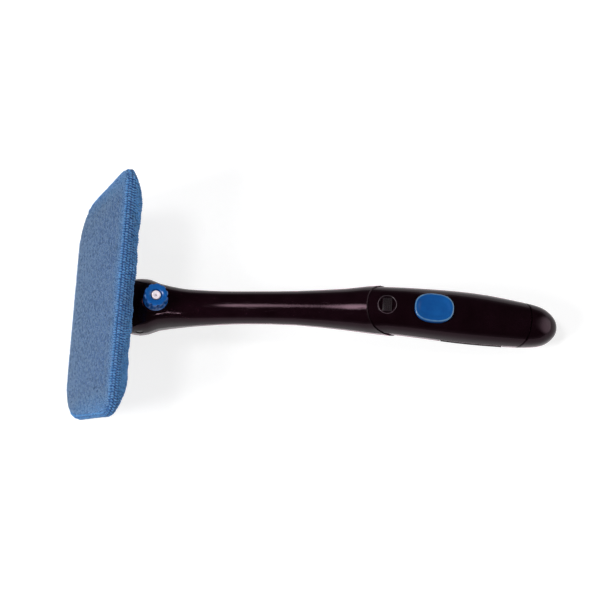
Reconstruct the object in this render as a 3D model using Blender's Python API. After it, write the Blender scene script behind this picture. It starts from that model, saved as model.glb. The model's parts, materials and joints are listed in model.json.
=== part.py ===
"""A hand-held window cleaning brush with a built-in sprayer, in metres with Z up.

The tool lies along X with its head at -X and its tail at +X. A cloth-covered head tilts on a
pin across the front of the neck, the neck plugs into the grip, and the grip holds a thumb pump
and a small tank that the end cap closes. Pieces are drawn from the hinge pin's centre, and the
root empty then sets the whole tool down on Z = 0 with the middle of its box at X = Y = 0.
"""

import math

import bmesh
import bpy
from mathutils import Matrix, Vector

# Driving dimensions of the handle, all in metres.
HANDLE_LENGTH = 0.350
GRIP_LENGTH = 0.1423
CAP_LENGTH = 0.0288
GRIP_WIDTH = 0.0436
GRIP_DEPTH = 0.0392
ARCH_RISE = 0.0196
BARREL_RADIUS = 0.0146
SHELL_WALL = 0.0024
FIT_GAP = 0.0003
SEAM_GAP = 0.0009

# How far the drawn tool is turned to rest on both its head and its tail, in degrees.
REST_PITCH = 3.460

# Places along the handle, measured from the hinge pin, and how far its seams lean.
NECK_SEAM_X = HANDLE_LENGTH - GRIP_LENGTH
NECK_SEAM_LEAN = 0.030
NECK_LIP = 0.0010
CAP_SEAM_X = HANDLE_LENGTH - CAP_LENGTH
CAP_SEAM_LEAN = 0.020
LEAN_RUN = 0.040
CAVITY_START = 0.0235
LATCH_SETBACK = 0.0024
BUTTON_SETBACK = 0.0395
LATCH_X = NECK_SEAM_X + LATCH_SETBACK
BUTTON_X = LATCH_X + BUTTON_SETBACK
NOZZLE_X = 0.0134

# One row a station: along the length, height of the centre line, half width, half depth.
HANDLE_SHARES = (
    (0.000, -0.18, 1.080, 1.020),
    (0.020, -0.12, 1.033, 1.071),
    (0.045, -0.07, 0.869, 1.082),
    (0.095, -0.06, 0.744, 0.939),
    (0.135, 0.05, 0.698, 0.806),
    (0.195, 0.25, 0.649, 0.699),
    (0.260, 0.47, 0.632, 0.653),
    (0.380, 0.75, 0.660, 0.684),
    (0.500, 0.90, 0.796, 0.822),
    (0.565, 1.01, 0.884, 0.881),
    (0.620, 0.99, 0.918, 0.920),
    (0.695, 0.80, 0.960, 0.969),
    (0.765, 0.57, 0.990, 0.995),
    (0.835, 0.31, 0.974, 0.971),
    (0.910, -0.04, 0.893, 0.888),
    (0.960, -0.21, 0.783, 0.782),
    (0.986, -0.29, 0.600, 0.612),
    (1.000, -0.33, 0.300, 0.320),
)
BARREL_FRONT_SHARE = 0.93
BARREL_ANGLES = (18.0, 36.0, 54.0, 72.0)
SECTION_POWER = 2.3
BARREL_POWER = 2.8
POWER_FADE = 0.045
SECTION_STEPS = 24

# The head: a cloth bonnet over a foam pad and a plate.
HEAD_TILT = 60.3
HEAD_DEPTH = 0.0173
HEAD_WIDTH = 0.100
LEADING_LENGTH = 0.187
RIDGE_LENGTH = 0.224
LEADING_CORNER = 0.034
RIDGE_CORNER = 0.011
END_DRAW = 0.032
BACK_DRAW = 0.003
HINGE_STANDOFF = 0.0206
HINGE_OFFSET = 0.0147
CLOTH_THICKNESS = 0.0026
CLOTH_CROWN = 0.0022
CLOTH_EDGE = 0.006
HEM_TURN = 0.013
HEM_WAVE = 0.0005
HEM_WAVES = 14
HEM_CORD_RADIUS = 0.0008
CLOTH_CLEARANCE = 0.0006
PLATE_THICKNESS = 0.0032
PLATE_DEPTH = HEAD_DEPTH - CLOTH_THICKNESS - CLOTH_CLEARANCE - PLATE_THICKNESS
FOAM_EDGE = 0.003
OUTLINE_POINTS = 56

# The tilting joint between head and neck.
PIN_RADIUS = 0.003
PIN_RECESS = 0.0012
KNUCKLE_RADIUS = 0.0075
KNUCKLE_WIDTH = 0.0112
FORK_GAP = 0.014
FORK_REACH = 0.0028
FORK_ROOF = 0.0115
WASHER_THICKNESS = 0.0008
WASHER_RADIUS = 0.0066
KNUCKLE_CLEARANCE = 0.0008
BRACKET_LENGTH = 0.052
BRACKET_REACH_LOW = 0.0353
BRACKET_REACH_HIGH = 0.0012
BRACKET_LOW = HINGE_OFFSET - BRACKET_REACH_LOW
BRACKET_HIGH = HINGE_OFFSET + BRACKET_REACH_HIGH
BRACKET_THICKNESS = 0.0026
WEB_REACH = 0.0153
WEB_LOW = HINGE_OFFSET - WEB_REACH
BRACKET_CORNER = 0.005

# Fasteners.
SCREW_RADIUS = 0.0014
SCREW_HEAD_RADIUS = 0.0026
SCREW_HEAD_HEIGHT = 0.0014
BOSS_RADIUS = 0.0034
BOSS_ROOT_SHARE = 0.75
BRACKET_SCREW_IN = 0.006
BRACKET_SCREW_LENGTH = 0.0042
SHELL_SCREW_BITE = 0.007

# The spray nozzle.
NOZZLE_LEAN = 8.0
NOZZLE_SEAT_RADIUS = 0.0112
NOZZLE_SEAT_RISE = 0.0006
NOZZLE_SEAT_DEPTH = 0.006
NOZZLE_CAP_RADIUS = 0.0106
NOZZLE_CAP_HEIGHT = 0.0130
NOZZLE_CAP_BEVEL = 0.0008
NOZZLE_CAP_TAPER = 0.0005
NOZZLE_LOBES = 10
NOZZLE_FLUTE = 0.0008
NOZZLE_SPIGOT_RADIUS = 0.0054
NOZZLE_STEM_RADIUS = 0.0042
NOZZLE_STEM_DEPTH = 0.0125
NOZZLE_FLANGE_RADIUS = 0.0084
NOZZLE_FLANGE_HEIGHT = 0.0012
INSERT_RADIUS = 0.0038
INSERT_RECESS = 0.0007
INSERT_DEPTH = 0.0030
ORIFICE_RADIUS = 0.0006
GASKET_WIRE = 0.0008

# The pump under the thumb button.
BUTTON_LENGTH = 0.033
BUTTON_WIDTH = 0.0245
BUTTON_RISE = 0.0012
BUTTON_SKIRT = 0.0058
BUTTON_TOP = 0.0024
BUTTON_RIM = 0.0018
BUTTON_DISH = 0.0009
BUTTON_EDGE = 0.0008
BUTTON_CLEARANCE = 0.0004
BUTTON_POWER = 2.5
BUTTON_WALL = 0.0018
BUTTON_POINTS = 48
PUMP_BORE = 0.0066
PUMP_WALL = 0.0019
PUMP_TOP_DEPTH = 0.0125
PUMP_STROKE_DEPTH = 0.015
COLLAR_THICKNESS = 0.0015
STEM_RADIUS = 0.0020
STEM_CLEARANCE = 0.0004
PISTON_DEPTH = 0.0140
PISTON_HEIGHT = 0.004
PUMP_SPRING_RADIUS = 0.0046
PUMP_SPRING_WIRE = 0.00045
PUMP_SPRING_TURNS = 4
OUTLET_DEPTH = 0.0250
INLET_DEPTH = 0.0300
VALVE_RADIUS = 0.0028
VALVE_LENGTH = 0.005

# The latch that locks the neck in the grip.
DISH_RADIUS = 0.0076
DISH_DEPTH = 0.0011
TAB_LENGTH = 0.0074
TAB_WIDTH = 0.0116
TAB_DEPTH = 0.0075
TAB_LOW = 0.0004
TAB_CLEARANCE = 0.0004
TAB_EDGE = 0.0006
TAB_FLANGE = 0.0012
TAB_FLANGE_HEIGHT = 0.0014
SLEEVE_WALL = 0.0018
SLEEVE_BACK = 0.020
SLEEVE_FRONT = 0.0205
BRIDGE_THICKNESS = 0.0018
BRIDGE_LENGTH = 0.008
LATCH_SPRING_RADIUS = 0.0022
LATCH_SPRING_WIRE = 0.00035
LATCH_SPRING_TURNS = 4
SPRING_STEPS = 9

# The tank, the end cap and the grip strip.
TANK_SETBACK = 0.0224
TANK_FOREROOM = 0.0147
TANK_START = BUTTON_X + TANK_SETBACK
TANK_END = CAP_SEAM_X - TANK_FOREROOM
TANK_WALL = 0.0014
TANK_CLEARANCE = 0.0005
MOUTH_RADIUS = 0.0072
MOUTH_WALL = 0.0014
MOUTH_LENGTH = 0.0050
STOPPER_LENGTH = 0.0060
STOPPER_FLANGE_RADIUS = 0.0090
STOPPER_FLANGE = 0.0016
CAP_WALL = 0.0024
SPIGOT_LENGTH = 0.0045
SPIGOT_OVERLAP = 0.006
SPIGOT_WALL = 0.0016
STRIP_LENGTH = 0.0515
STRIP_SETBACK = 0.0142
STRIP_END = CAP_SEAM_X - STRIP_SETBACK
STRIP_START = STRIP_END - STRIP_LENGTH
STRIP_DROP_SHARE = 0.045
STRIP_THICKNESS = 0.0012
STRIP_PROUD = 0.0003
STRIP_STEPS = 10

# Water tubes inside the handle.
TUBE_RADIUS = 0.0015
TUBE_SPACING = 0.010
TUBE_LEAD = 0.0008
COUPLING_RADIUS = 0.0030
COUPLING_LENGTH = 0.007
COUPLING_CLEARANCE = 0.0016
DIP_FOOT_SHARE = 0.34
DIP_END_SHARE = 0.68
DIP_TUBE_REST = 0.0006
TUBE_SIDESTEP = 0.0060
TUBE_SIDE_START = 0.038
TUBE_SIDE_SETBACK = 0.0257
TUBE_SIDE_END = NECK_SEAM_X - TUBE_SIDE_SETBACK
TUBE_SIDE_RUN = 0.022
TUBE_DROP_START = 0.0255
TUBE_DROP_RUN = 0.030

# Where the shells' screws stand: along the handle, and out from its middle.
NECK_SCREW_FRONT = 0.066
NECK_SCREW_SETBACK = 0.0577
NECK_SCREW_BACK = NECK_SEAM_X - NECK_SCREW_SETBACK
SCREW_FOREROOM = 0.0171
SCREW_AFTROOM = 0.0166
GRIP_SCREW_FRONT = BUTTON_X - SCREW_FOREROOM
GRIP_SCREW_BACK = BUTTON_X + SCREW_AFTROOM
FRONT_SCREW_SHARE = 0.5275
BACK_SCREW_SHARE = 0.5963
FRONT_SCREW_OUT = GRIP_WIDTH / 2 * FRONT_SCREW_SHARE
BACK_SCREW_OUT = GRIP_WIDTH / 2 * BACK_SCREW_SHARE
NECK_SCREW_PLACES = ((NECK_SCREW_FRONT, 0.0), (NECK_SCREW_BACK, 0.0))
GRIP_SCREW_PLACES = (
    (GRIP_SCREW_FRONT, FRONT_SCREW_OUT), (GRIP_SCREW_FRONT, -FRONT_SCREW_OUT),
    (GRIP_SCREW_BACK, BACK_SCREW_OUT), (GRIP_SCREW_BACK, -BACK_SCREW_OUT),
)

ROUND_STEPS = 32
SMALL_STEPS = 16
OVERRUN = 0.003
SMOOTH_ANGLE = math.radians(40.0)

X_AXIS = Vector((1.0, 0.0, 0.0))
Y_AXIS = Vector((0.0, 1.0, 0.0))
Z_AXIS = Vector((0.0, 0.0, 1.0))


def clear_scene():
    for item in list(bpy.data.objects):
        bpy.data.objects.remove(item, do_unlink=True)


def make_material(name, colour, roughness, metallic=0.0):
    material = bpy.data.materials.new(name)
    material.use_nodes = True
    shader = material.node_tree.nodes["Principled BSDF"]
    shader.inputs["Base Color"].default_value = (*colour, 1.0)
    shader.inputs["Roughness"].default_value = roughness
    shader.inputs["Metallic"].default_value = metallic
    return material


def black_plastic(name):
    return make_material(name, (0.022, 0.012, 0.018), 0.12)


def blue_plastic(name):
    return make_material(name, (0.010, 0.120, 0.380), 0.28)


def clear_plastic(name):
    return make_material(name, (0.75, 0.78, 0.80), 0.20)


def white_plastic(name):
    return make_material(name, (0.86, 0.78, 0.84), 0.35)


def dark_rubber(name):
    return make_material(name, (0.030, 0.028, 0.030), 0.75)


def blue_cloth(name):
    return make_material(name, (0.080, 0.220, 0.480), 0.95)


def steel(name):
    return make_material(name, (0.60, 0.60, 0.62), 0.28, 1.0)


def foam(name):
    return make_material(name, (0.70, 0.68, 0.58), 0.90)


def new_object(name, bm, material=None):
    bmesh.ops.recalc_face_normals(bm, faces=bm.faces)
    mesh = bpy.data.meshes.new(name)
    bm.to_mesh(mesh)
    bm.free()
    mesh.shade_smooth()
    mesh.set_sharp_from_angle(angle=SMOOTH_ANGLE)
    item = bpy.data.objects.new(name, mesh)
    bpy.context.scene.collection.objects.link(item)
    if material:
        mesh.materials.append(material)
    return item


def loft(name, loops, material=None):
    """One closed solid through equal loops of points, with a flat cap at each end."""
    bm = bmesh.new()
    rings = [[bm.verts.new(point) for point in loop] for loop in loops]
    count = len(rings[0])
    for first, second in zip(rings, rings[1:]):
        for i in range(count):
            j = (i + 1) % count
            bm.faces.new((first[i], first[j], second[j], second[i]))
    bm.faces.new(rings[0])
    bm.faces.new(rings[-1])
    return new_object(name, bm, material)


def circle(radius, steps=ROUND_STEPS):
    angles = [math.tau * i / steps for i in range(steps)]
    return [(radius * math.cos(angle), radius * math.sin(angle)) for angle in angles]


def turned(name, frame, profile, material=None, steps=ROUND_STEPS):
    """A solid turned about the frame's Z from (radius, height) pairs, ends capped flat."""
    loops = []
    for radius, height in profile:
        loops.append([frame @ Vector((x, y, height)) for x, y in circle(radius, steps)])
    return loft(name, loops, material)


def turned_ring(name, frame, profile, material=None, steps=ROUND_STEPS):
    """A solid turned about the frame's Z from a closed run of (radius, height) pairs."""
    bm = bmesh.new()
    rings = []
    for radius, height in profile:
        rings.append([bm.verts.new(frame @ Vector((x, y, height))) for x, y in circle(radius, steps)])
    for first, second in zip(rings, rings[1:] + rings[:1]):
        for i in range(steps):
            j = (i + 1) % steps
            bm.faces.new((first[i], first[j], second[j], second[i]))
    return new_object(name, bm, material)


def block(name, frame, low, high, material=None):
    corners = [(low[0], low[1]), (high[0], low[1]), (high[0], high[1]), (low[0], high[1])]
    loops = [[frame @ Vector((x, y, z)) for x, y in corners] for z in (low[2], high[2])]
    return loft(name, loops, material)


def combine(target, other, operation):
    other.hide_render = True
    other.display_type = "WIRE"
    modifier = target.modifiers.new(f"{operation.lower()}_{other.name}", "BOOLEAN")
    modifier.operation = operation
    modifier.solver = "EXACT"
    modifier.object = other


def cut(target, *cutters):
    for cutter in cutters:
        combine(target, cutter, "DIFFERENCE")


def join(target, *others):
    for other in others:
        combine(target, other, "UNION")


def hermite(low, high, low_slope, high_slope, run, t):
    """A smooth cubic between two values with the slopes given at its ends."""
    return (
        (2 * t**3 - 3 * t**2 + 1) * low
        + (t**3 - 2 * t**2 + t) * run * low_slope
        + (3 * t**2 - 2 * t**3) * high
        + (t**3 - t**2) * run * high_slope
    )


def handle_share(x, column):
    """The smooth value of one column of the handle's table at a place along its length."""
    stations = [row[0] for row in HANDLE_SHARES]
    values = [row[column] for row in HANDLE_SHARES]
    at = min(max(x / HANDLE_LENGTH, 0.0), 1.0)
    slopes = []
    last = len(stations) - 1
    for i in range(len(stations)):
        before = max(i - 1, 0)
        after = min(i + 1, last)
        slopes.append((values[after] - values[before]) / (stations[after] - stations[before]))
    span = max(i for i in range(last) if stations[i] <= at or i == 0)
    run = stations[span + 1] - stations[span]
    t = (at - stations[span]) / run
    return hermite(values[span], values[span + 1], slopes[span], slopes[span + 1], run, t)


def centre_height(x):
    return ARCH_RISE * handle_share(x, 1)


def half_width(x):
    if x >= 0:
        return handle_share(x, 2) * GRIP_WIDTH / 2
    front = -x / BARREL_RADIUS
    fade = 1 - (1 - BARREL_FRONT_SHARE) * front**2
    return handle_share(0.0, 2) * GRIP_WIDTH / 2 * fade


def half_depth(x):
    if x >= 0:
        return handle_share(x, 3) * GRIP_DEPTH / 2
    return half_depth(0.0) * math.sqrt(max(1 - (x / BARREL_RADIUS) ** 2, 0.0))


def section_power(x):
    fade = min(max(x / POWER_FADE, 0.0), 1.0)
    return BARREL_POWER + (SECTION_POWER - BARREL_POWER) * fade


def rounded(value, power):
    return math.copysign(abs(value) ** (2 / power), value)


def handle_point(x, lean, angle, inset=0.0):
    """A point of the handle's skin, its section leaning back by lean at half its depth."""
    place = x + lean * rounded(math.sin(angle), SECTION_POWER)
    power = section_power(place)
    across = (half_width(place) - inset) * rounded(math.cos(angle), power)
    up = (half_depth(place) - inset) * rounded(math.sin(angle), power)
    return Vector((place, across, centre_height(place) + up))


def full_loop(x, lean=0.0, inset=0.0):
    angles = [math.tau * i / SECTION_STEPS for i in range(SECTION_STEPS)]
    return [handle_point(x, lean, angle, inset) for angle in angles]


def half_loop(x, lean, upper, proud=0.0):
    """Half a section, above or below the joint between two shells."""
    side = 1 if upper else -1
    steps = SECTION_STEPS // 2
    points = [handle_point(x, lean, side * math.pi * i / steps, -proud) for i in range(steps + 1)]
    lift = Vector((0.0, 0.0, side * FIT_GAP / 2))
    return [point + lift for point in points]


def stations_between(start, end, rows):
    """The places of the table's rows between two ends, with the ends themselves."""
    inside = []
    for low, high in zip(rows, rows[1:]):
        inside.append(low[0] * HANDLE_LENGTH)
        inside.append((low[0] + high[0]) / 2 * HANDLE_LENGTH)
    keep = [x for x in inside if start + OVERRUN < x < end - OVERRUN]
    return [start, *keep, end]


def lean_at(x):
    """How far a section leans: back with the neck's seam, forward with the end cap's."""
    near_neck = max(1 - abs(x - NECK_SEAM_X) / LEAN_RUN, 0.0)
    near_cap = max(1 - abs(x - CAP_SEAM_X) / LEAN_RUN, 0.0)
    return CAP_SEAM_LEAN / 2 * near_cap - NECK_SEAM_LEAN / 2 * near_neck


def shell_solid(name, start, end, upper, material, front=(), lip=0.0):
    """Half of a handle from start to end, swelling by a lip towards its end."""
    places = [*front, *stations_between(start, end, HANDLE_SHARES)]
    loops = []
    for x in places:
        lean = lean_at(x) if x > 0 else 0.0
        proud = lip * ease(1 - (end - x) / LEAN_RUN)
        loops.append(half_loop(x, lean, upper, proud))
    return loft(name, loops, material)


def cavity_cutter(name, start, end, inset):
    places = stations_between(start, end, HANDLE_SHARES)
    return loft(name, [full_loop(x, lean_at(x), inset) for x in places])


def skin_height(x, inset=0.0):
    return centre_height(x) + half_depth(x) - inset


def slope_at(x):
    step = TUBE_SPACING / 2
    return math.atan2(skin_height(x + step) - skin_height(x - step), 2 * step)


def frame_on_top(x, lean=None):
    """A frame on the handle's upper skin: Z out of the skin, X towards the tail."""
    turn = -slope_at(x) if lean is None else lean
    return Matrix.Translation((x, 0.0, skin_height(x))) @ Matrix.Rotation(turn, 4, "Y")


def cross_frame(x, z):
    """A frame whose Z runs across the tool, along Y."""
    return Matrix.Translation((x, 0.0, z)) @ Matrix.Rotation(-math.pi / 2, 4, "X")


def along_frame(start, direction):
    """A frame at a point whose Z runs along a direction."""
    return Matrix.Translation(start) @ direction.to_track_quat("Z", "Y").to_matrix().to_4x4()


def barrel_front():
    return [-BARREL_RADIUS * math.cos(math.radians(angle)) for angle in BARREL_ANGLES]


def tube(name, points, radius, material):
    curve = bpy.data.curves.new(name, "CURVE")
    curve.dimensions = "3D"
    curve.bevel_depth = radius
    curve.bevel_resolution = 2
    curve.use_fill_caps = True
    spline = curve.splines.new("POLY")
    spline.points.add(len(points) - 1)
    for slot, point in zip(spline.points, points):
        slot.co = (*point, 1.0)
    curve.materials.append(material)
    item = bpy.data.objects.new(name, curve)
    bpy.context.scene.collection.objects.link(item)
    return item


def spring(name, frame, radius, wire, length, turns, material):
    """A coil of round wire that stands along the frame's Z from zero to its length."""
    rise = length - 2 * wire
    count = turns * SPRING_STEPS
    points = []
    for i in range(count + 1):
        angle = math.tau * i / SPRING_STEPS
        height = wire + rise * i / count
        points.append(frame @ Vector((radius * math.cos(angle), radius * math.sin(angle), height)))
    item = tube(name, points, wire, material)
    item.data.bevel_resolution = 1
    return item


def led_run(start, end, steps, lead):
    """A smooth run with a straight lead, along X, at each end."""
    way = X_AXIS * math.copysign(lead, end.x - start.x)
    return [start, *smooth_run(start + way, end - way, steps), end]


def ease(t):
    t = min(max(t, 0.0), 1.0)
    return t * t * (3 - 2 * t)


def smooth_run(start, end, steps):
    """Points from start to end, eased in height and to the side."""
    points = []
    for i in range(steps + 1):
        t = i / steps
        point = start.lerp(end, ease(t))
        point.x = start.x + (end.x - start.x) * t
        points.append(point)
    return points


def neck_tube_points(start, end):
    """From the nozzle down to the neck's centre line, and round the screw bosses."""
    steps = round((end.x - start.x) / TUBE_SPACING) * 2
    drop = start.z - centre_height(start.x)
    first = start + X_AXIS * TUBE_LEAD
    last = end - X_AXIS * TUBE_LEAD
    points = [start]
    for i in range(steps + 1):
        x = first.x + (last.x - first.x) * i / steps
        fade = 1 - ease((x - TUBE_DROP_START) / TUBE_DROP_RUN)
        out = ease((x - TUBE_SIDE_START) / TUBE_SIDE_RUN)
        back = 1 - ease((x - TUBE_SIDE_END + TUBE_SIDE_RUN) / TUBE_SIDE_RUN)
        centre = centre_height(x) if x > TUBE_DROP_START else centre_height(start.x)
        points.append(Vector((x, TUBE_SIDESTEP * out * back, centre + drop * fade)))
    points[-1] = last
    return [*points, end]


# Neck.


def screw_frame(x, y):
    """A frame on a screw's axis at the level of the joint between the shells."""
    return Matrix.Translation((x, y, centre_height(x)))


def skin_drop(x, y):
    """How far the skin lies from the joint between the shells at a place beside the centre."""
    power = section_power(x)
    side = min(abs(y) / half_width(x), 1.0)
    return half_depth(x) * (1 - side**power) ** (1 / power)


def disc_drop(x, y, radius, side=-1):
    """How far from the joint a level disc can lie below, or above, and still be in the skin."""
    drops = []
    for place in (x - radius, x, x + radius):
        step = side * (centre_height(place) - centre_height(x))
        drops.append(skin_drop(place, abs(y) + radius) + step)
    return min(drops)


def fit_boss(upper, lower, x, y):
    """A boss that hangs from the upper shell, and the way through the lower one."""
    frame = screw_frame(x, y)
    root = SHELL_WALL * BOSS_ROOT_SHARE
    up_to = disc_drop(x, y, BOSS_RADIUS, 1) - root
    post = turned(f"post_{upper.name}_{x:.3f}_{y:.3f}", frame,
                  [(BOSS_RADIUS, FIT_GAP / 2), (BOSS_RADIUS, up_to)], steps=SMALL_STEPS)
    join(upper, post)
    pilot = turned(f"pilot_{upper.name}_{x:.3f}_{y:.3f}", frame,
                   [(SCREW_RADIUS + FIT_GAP, -OVERRUN),
                    (SCREW_RADIUS + FIT_GAP, SHELL_SCREW_BITE + FIT_GAP)], steps=SMALL_STEPS)
    cut(upper, pilot)
    down_to = disc_drop(x, y, BOSS_RADIUS) - root
    foot = turned(f"foot_{lower.name}_{x:.3f}_{y:.3f}", frame,
                  [(BOSS_RADIUS, -down_to), (BOSS_RADIUS, -FIT_GAP / 2)], steps=SMALL_STEPS)
    join(lower, foot)
    head_top = screw_head_drop(x, y)
    way = turned(f"way_{lower.name}_{x:.3f}_{y:.3f}", frame,
                 [(SCREW_HEAD_RADIUS + FIT_GAP, -half_depth(x) - OVERRUN),
                  (SCREW_HEAD_RADIUS + FIT_GAP, -head_top),
                  (SCREW_RADIUS + FIT_GAP, -head_top),
                  (SCREW_RADIUS + FIT_GAP, OVERRUN)], steps=SMALL_STEPS)
    cut(lower, way)


def screw_head_drop(x, y):
    """Depth below the joint of the shoulder that a screw's head is drawn up against."""
    cover = STRIP_THICKNESS + FIT_GAP if STRIP_START < x < STRIP_END else 0.0
    return disc_drop(x, y, SCREW_HEAD_RADIUS) - cover - SCREW_HEAD_HEIGHT - FIT_GAP


def shell_screws(name, places):
    """The screws of one pair of shells."""
    for number, (x, y) in enumerate(places, 1):
        shoulder = -screw_head_drop(x, y) - FIT_GAP
        profile = [(SCREW_HEAD_RADIUS, shoulder - SCREW_HEAD_HEIGHT),
                   (SCREW_HEAD_RADIUS, shoulder),
                   (SCREW_RADIUS, shoulder),
                   (SCREW_RADIUS, SHELL_SCREW_BITE)]
        full_name = f"{name}_{number}"
        turned(full_name, screw_frame(x, y), profile, steel(full_name), SMALL_STEPS)


def fork_cutters(tag):
    """The gap between the neck's two cheeks, clear of the knuckle as it turns."""
    clear = KNUCKLE_RADIUS + KNUCKLE_CLEARANCE
    far = BARREL_RADIUS + OVERRUN
    low = centre_height(0.0) - half_depth(0.0) - OVERRUN
    start = -math.acos(FORK_REACH / clear)
    outline = [(-far, low), (FORK_REACH, low)]
    for i in range(ROUND_STEPS // 2 + 1):
        angle = start + (math.pi / 2 - start) * 2 * i / ROUND_STEPS
        outline.append((clear * math.cos(angle), clear * math.sin(angle)))
    outline += [(0.0, FORK_ROOF), (-far, FORK_ROOF)]
    sides = (-FORK_GAP / 2, FORK_GAP / 2)
    gap = loft(f"fork_gap_{tag}", [[Vector((x, y, z)) for x, z in outline] for y in sides])
    reach = half_width(0.0) + OVERRUN
    pin_way = turned(f"pin_way_{tag}", cross_frame(0.0, 0.0),
                     [(PIN_RADIUS + FIT_GAP, -reach), (PIN_RADIUS + FIT_GAP, reach)])
    return gap, pin_way


def nozzle_frame():
    return frame_on_top(NOZZLE_X, math.radians(NOZZLE_LEAN))


def nozzle_port():
    """Where the water tube meets the nozzle's stem."""
    frame = nozzle_frame()
    level = -NOZZLE_STEM_DEPTH + TUBE_RADIUS
    return frame @ Vector((NOZZLE_STEM_RADIUS + FIT_GAP, 0.0, level))


def make_neck_shells():
    upper = shell_solid("neck_upper_shell", 0.0, NECK_SEAM_X, True,
                        black_plastic("neck_upper_shell"), barrel_front(), NECK_LIP)
    lower = shell_solid("neck_lower_shell", 0.0, NECK_SEAM_X, False,
                        black_plastic("neck_lower_shell"), barrel_front(), NECK_LIP)
    frame = nozzle_frame()
    seat = turned("nozzle_seat", frame, [(NOZZLE_SEAT_RADIUS, -NOZZLE_SEAT_DEPTH),
                                         (NOZZLE_SEAT_RADIUS, NOZZLE_SEAT_RISE)])
    join(upper, seat)
    for shell, tag in ((upper, "upper"), (lower, "lower")):
        cut(shell, cavity_cutter(f"neck_cavity_{tag}", CAVITY_START,
                                 NECK_SEAM_X + 2 * OVERRUN, SHELL_WALL))
        cut(shell, *fork_cutters(tag))
    stem_way = turned("nozzle_stem_way", frame,
                      [(NOZZLE_STEM_RADIUS + FIT_GAP, -NOZZLE_STEM_DEPTH - FIT_GAP),
                       (NOZZLE_STEM_RADIUS + FIT_GAP, NOZZLE_SEAT_RISE + OVERRUN)])
    port = nozzle_port()
    tube_way = turned("nozzle_tube_way", along_frame(port - X_AXIS * OVERRUN, X_AXIS),
                      [(TUBE_RADIUS + 2 * FIT_GAP, 0.0),
                       (TUBE_RADIUS + 2 * FIT_GAP, CAVITY_START - port.x + 3 * OVERRUN)],
                      steps=SMALL_STEPS)
    cut(upper, stem_way, tube_way)
    for x, y in NECK_SCREW_PLACES:
        fit_boss(upper, lower, x, y)


def make_hinge_pin():
    reach = half_width(0.0) - PIN_RECESS
    turned("hinge_pin", cross_frame(0.0, 0.0), [(PIN_RADIUS, -reach), (PIN_RADIUS, reach)],
           steel("hinge_pin"))


def make_washers():
    """A friction washer each side of the knuckle."""
    inner = PIN_RADIUS + FIT_GAP
    for side, name in ((-1, "friction_washer_right"), (1, "friction_washer_left")):
        start = side * (KNUCKLE_WIDTH / 2 + FIT_GAP)
        end = start + side * WASHER_THICKNESS
        profile = [(WASHER_RADIUS, start), (WASHER_RADIUS, end), (inner, end), (inner, start)]
        turned_ring(name, cross_frame(0.0, 0.0), profile, dark_rubber(name))


# Nozzle.


def make_nozzle_body():
    frame = nozzle_frame()
    base = NOZZLE_SEAT_RISE + FIT_GAP
    flange = base + NOZZLE_FLANGE_HEIGHT
    top = base + NOZZLE_CAP_HEIGHT - INSERT_DEPTH - FIT_GAP
    body = turned("nozzle_body", frame,
                  [(NOZZLE_STEM_RADIUS, -NOZZLE_STEM_DEPTH), (NOZZLE_STEM_RADIUS, base),
                   (NOZZLE_FLANGE_RADIUS, base), (NOZZLE_FLANGE_RADIUS, flange),
                   (NOZZLE_SPIGOT_RADIUS, flange), (NOZZLE_SPIGOT_RADIUS, top)],
                  clear_plastic("nozzle_body"))
    way = turned("nozzle_water_way", frame,
                 [(TUBE_RADIUS, -NOZZLE_STEM_DEPTH + NOZZLE_FLANGE_HEIGHT),
                  (TUBE_RADIUS, top + OVERRUN)], steps=SMALL_STEPS)
    cut(body, way)


def make_nozzle_gasket():
    frame = nozzle_frame()
    low = NOZZLE_SEAT_RISE + NOZZLE_FLANGE_HEIGHT + 2 * FIT_GAP
    inner = NOZZLE_SPIGOT_RADIUS + FIT_GAP
    profile = [(inner, low), (inner + GASKET_WIRE, low),
               (inner + GASKET_WIRE, low + GASKET_WIRE), (inner, low + GASKET_WIRE)]
    turned_ring("nozzle_gasket", frame, profile, dark_rubber("nozzle_gasket"), SMALL_STEPS)


def lobed_circle(radius, flute):
    steps = NOZZLE_LOBES * 6
    points = []
    for i in range(steps):
        angle = math.tau * i / steps
        swell = radius - flute * (0.5 - 0.5 * math.cos(NOZZLE_LOBES * angle)) ** 2
        points.append((swell * math.cos(angle), swell * math.sin(angle)))
    return points


def make_nozzle_cap():
    frame = nozzle_frame()
    low = NOZZLE_SEAT_RISE + FIT_GAP
    high = low + NOZZLE_CAP_HEIGHT
    rows = ((NOZZLE_CAP_RADIUS, low, NOZZLE_FLUTE),
            (NOZZLE_CAP_RADIUS - NOZZLE_CAP_TAPER, high - NOZZLE_CAP_BEVEL, NOZZLE_FLUTE),
            (NOZZLE_CAP_RADIUS - NOZZLE_CAP_TAPER - NOZZLE_CAP_BEVEL, high, NOZZLE_FLUTE / 2))
    loops = []
    for radius, height, flute in rows:
        loops.append([frame @ Vector((x, y, height)) for x, y in lobed_circle(radius, flute)])
    cap = loft("nozzle_cap", loops, blue_plastic("nozzle_cap"))
    flange_top = low + NOZZLE_FLANGE_HEIGHT + FIT_GAP
    shelf = low + NOZZLE_CAP_HEIGHT - INSERT_DEPTH
    bore = NOZZLE_SPIGOT_RADIUS + FIT_GAP
    gasket_top = flange_top + GASKET_WIRE + FIT_GAP
    inside = turned("nozzle_cap_inside", frame,
                    [(NOZZLE_FLANGE_RADIUS + FIT_GAP, low - OVERRUN),
                     (NOZZLE_FLANGE_RADIUS + FIT_GAP, gasket_top), (bore, gasket_top),
                     (bore, shelf), (INSERT_RADIUS + FIT_GAP, shelf),
                     (INSERT_RADIUS + FIT_GAP, high + OVERRUN)])
    cut(cap, inside)


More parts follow.
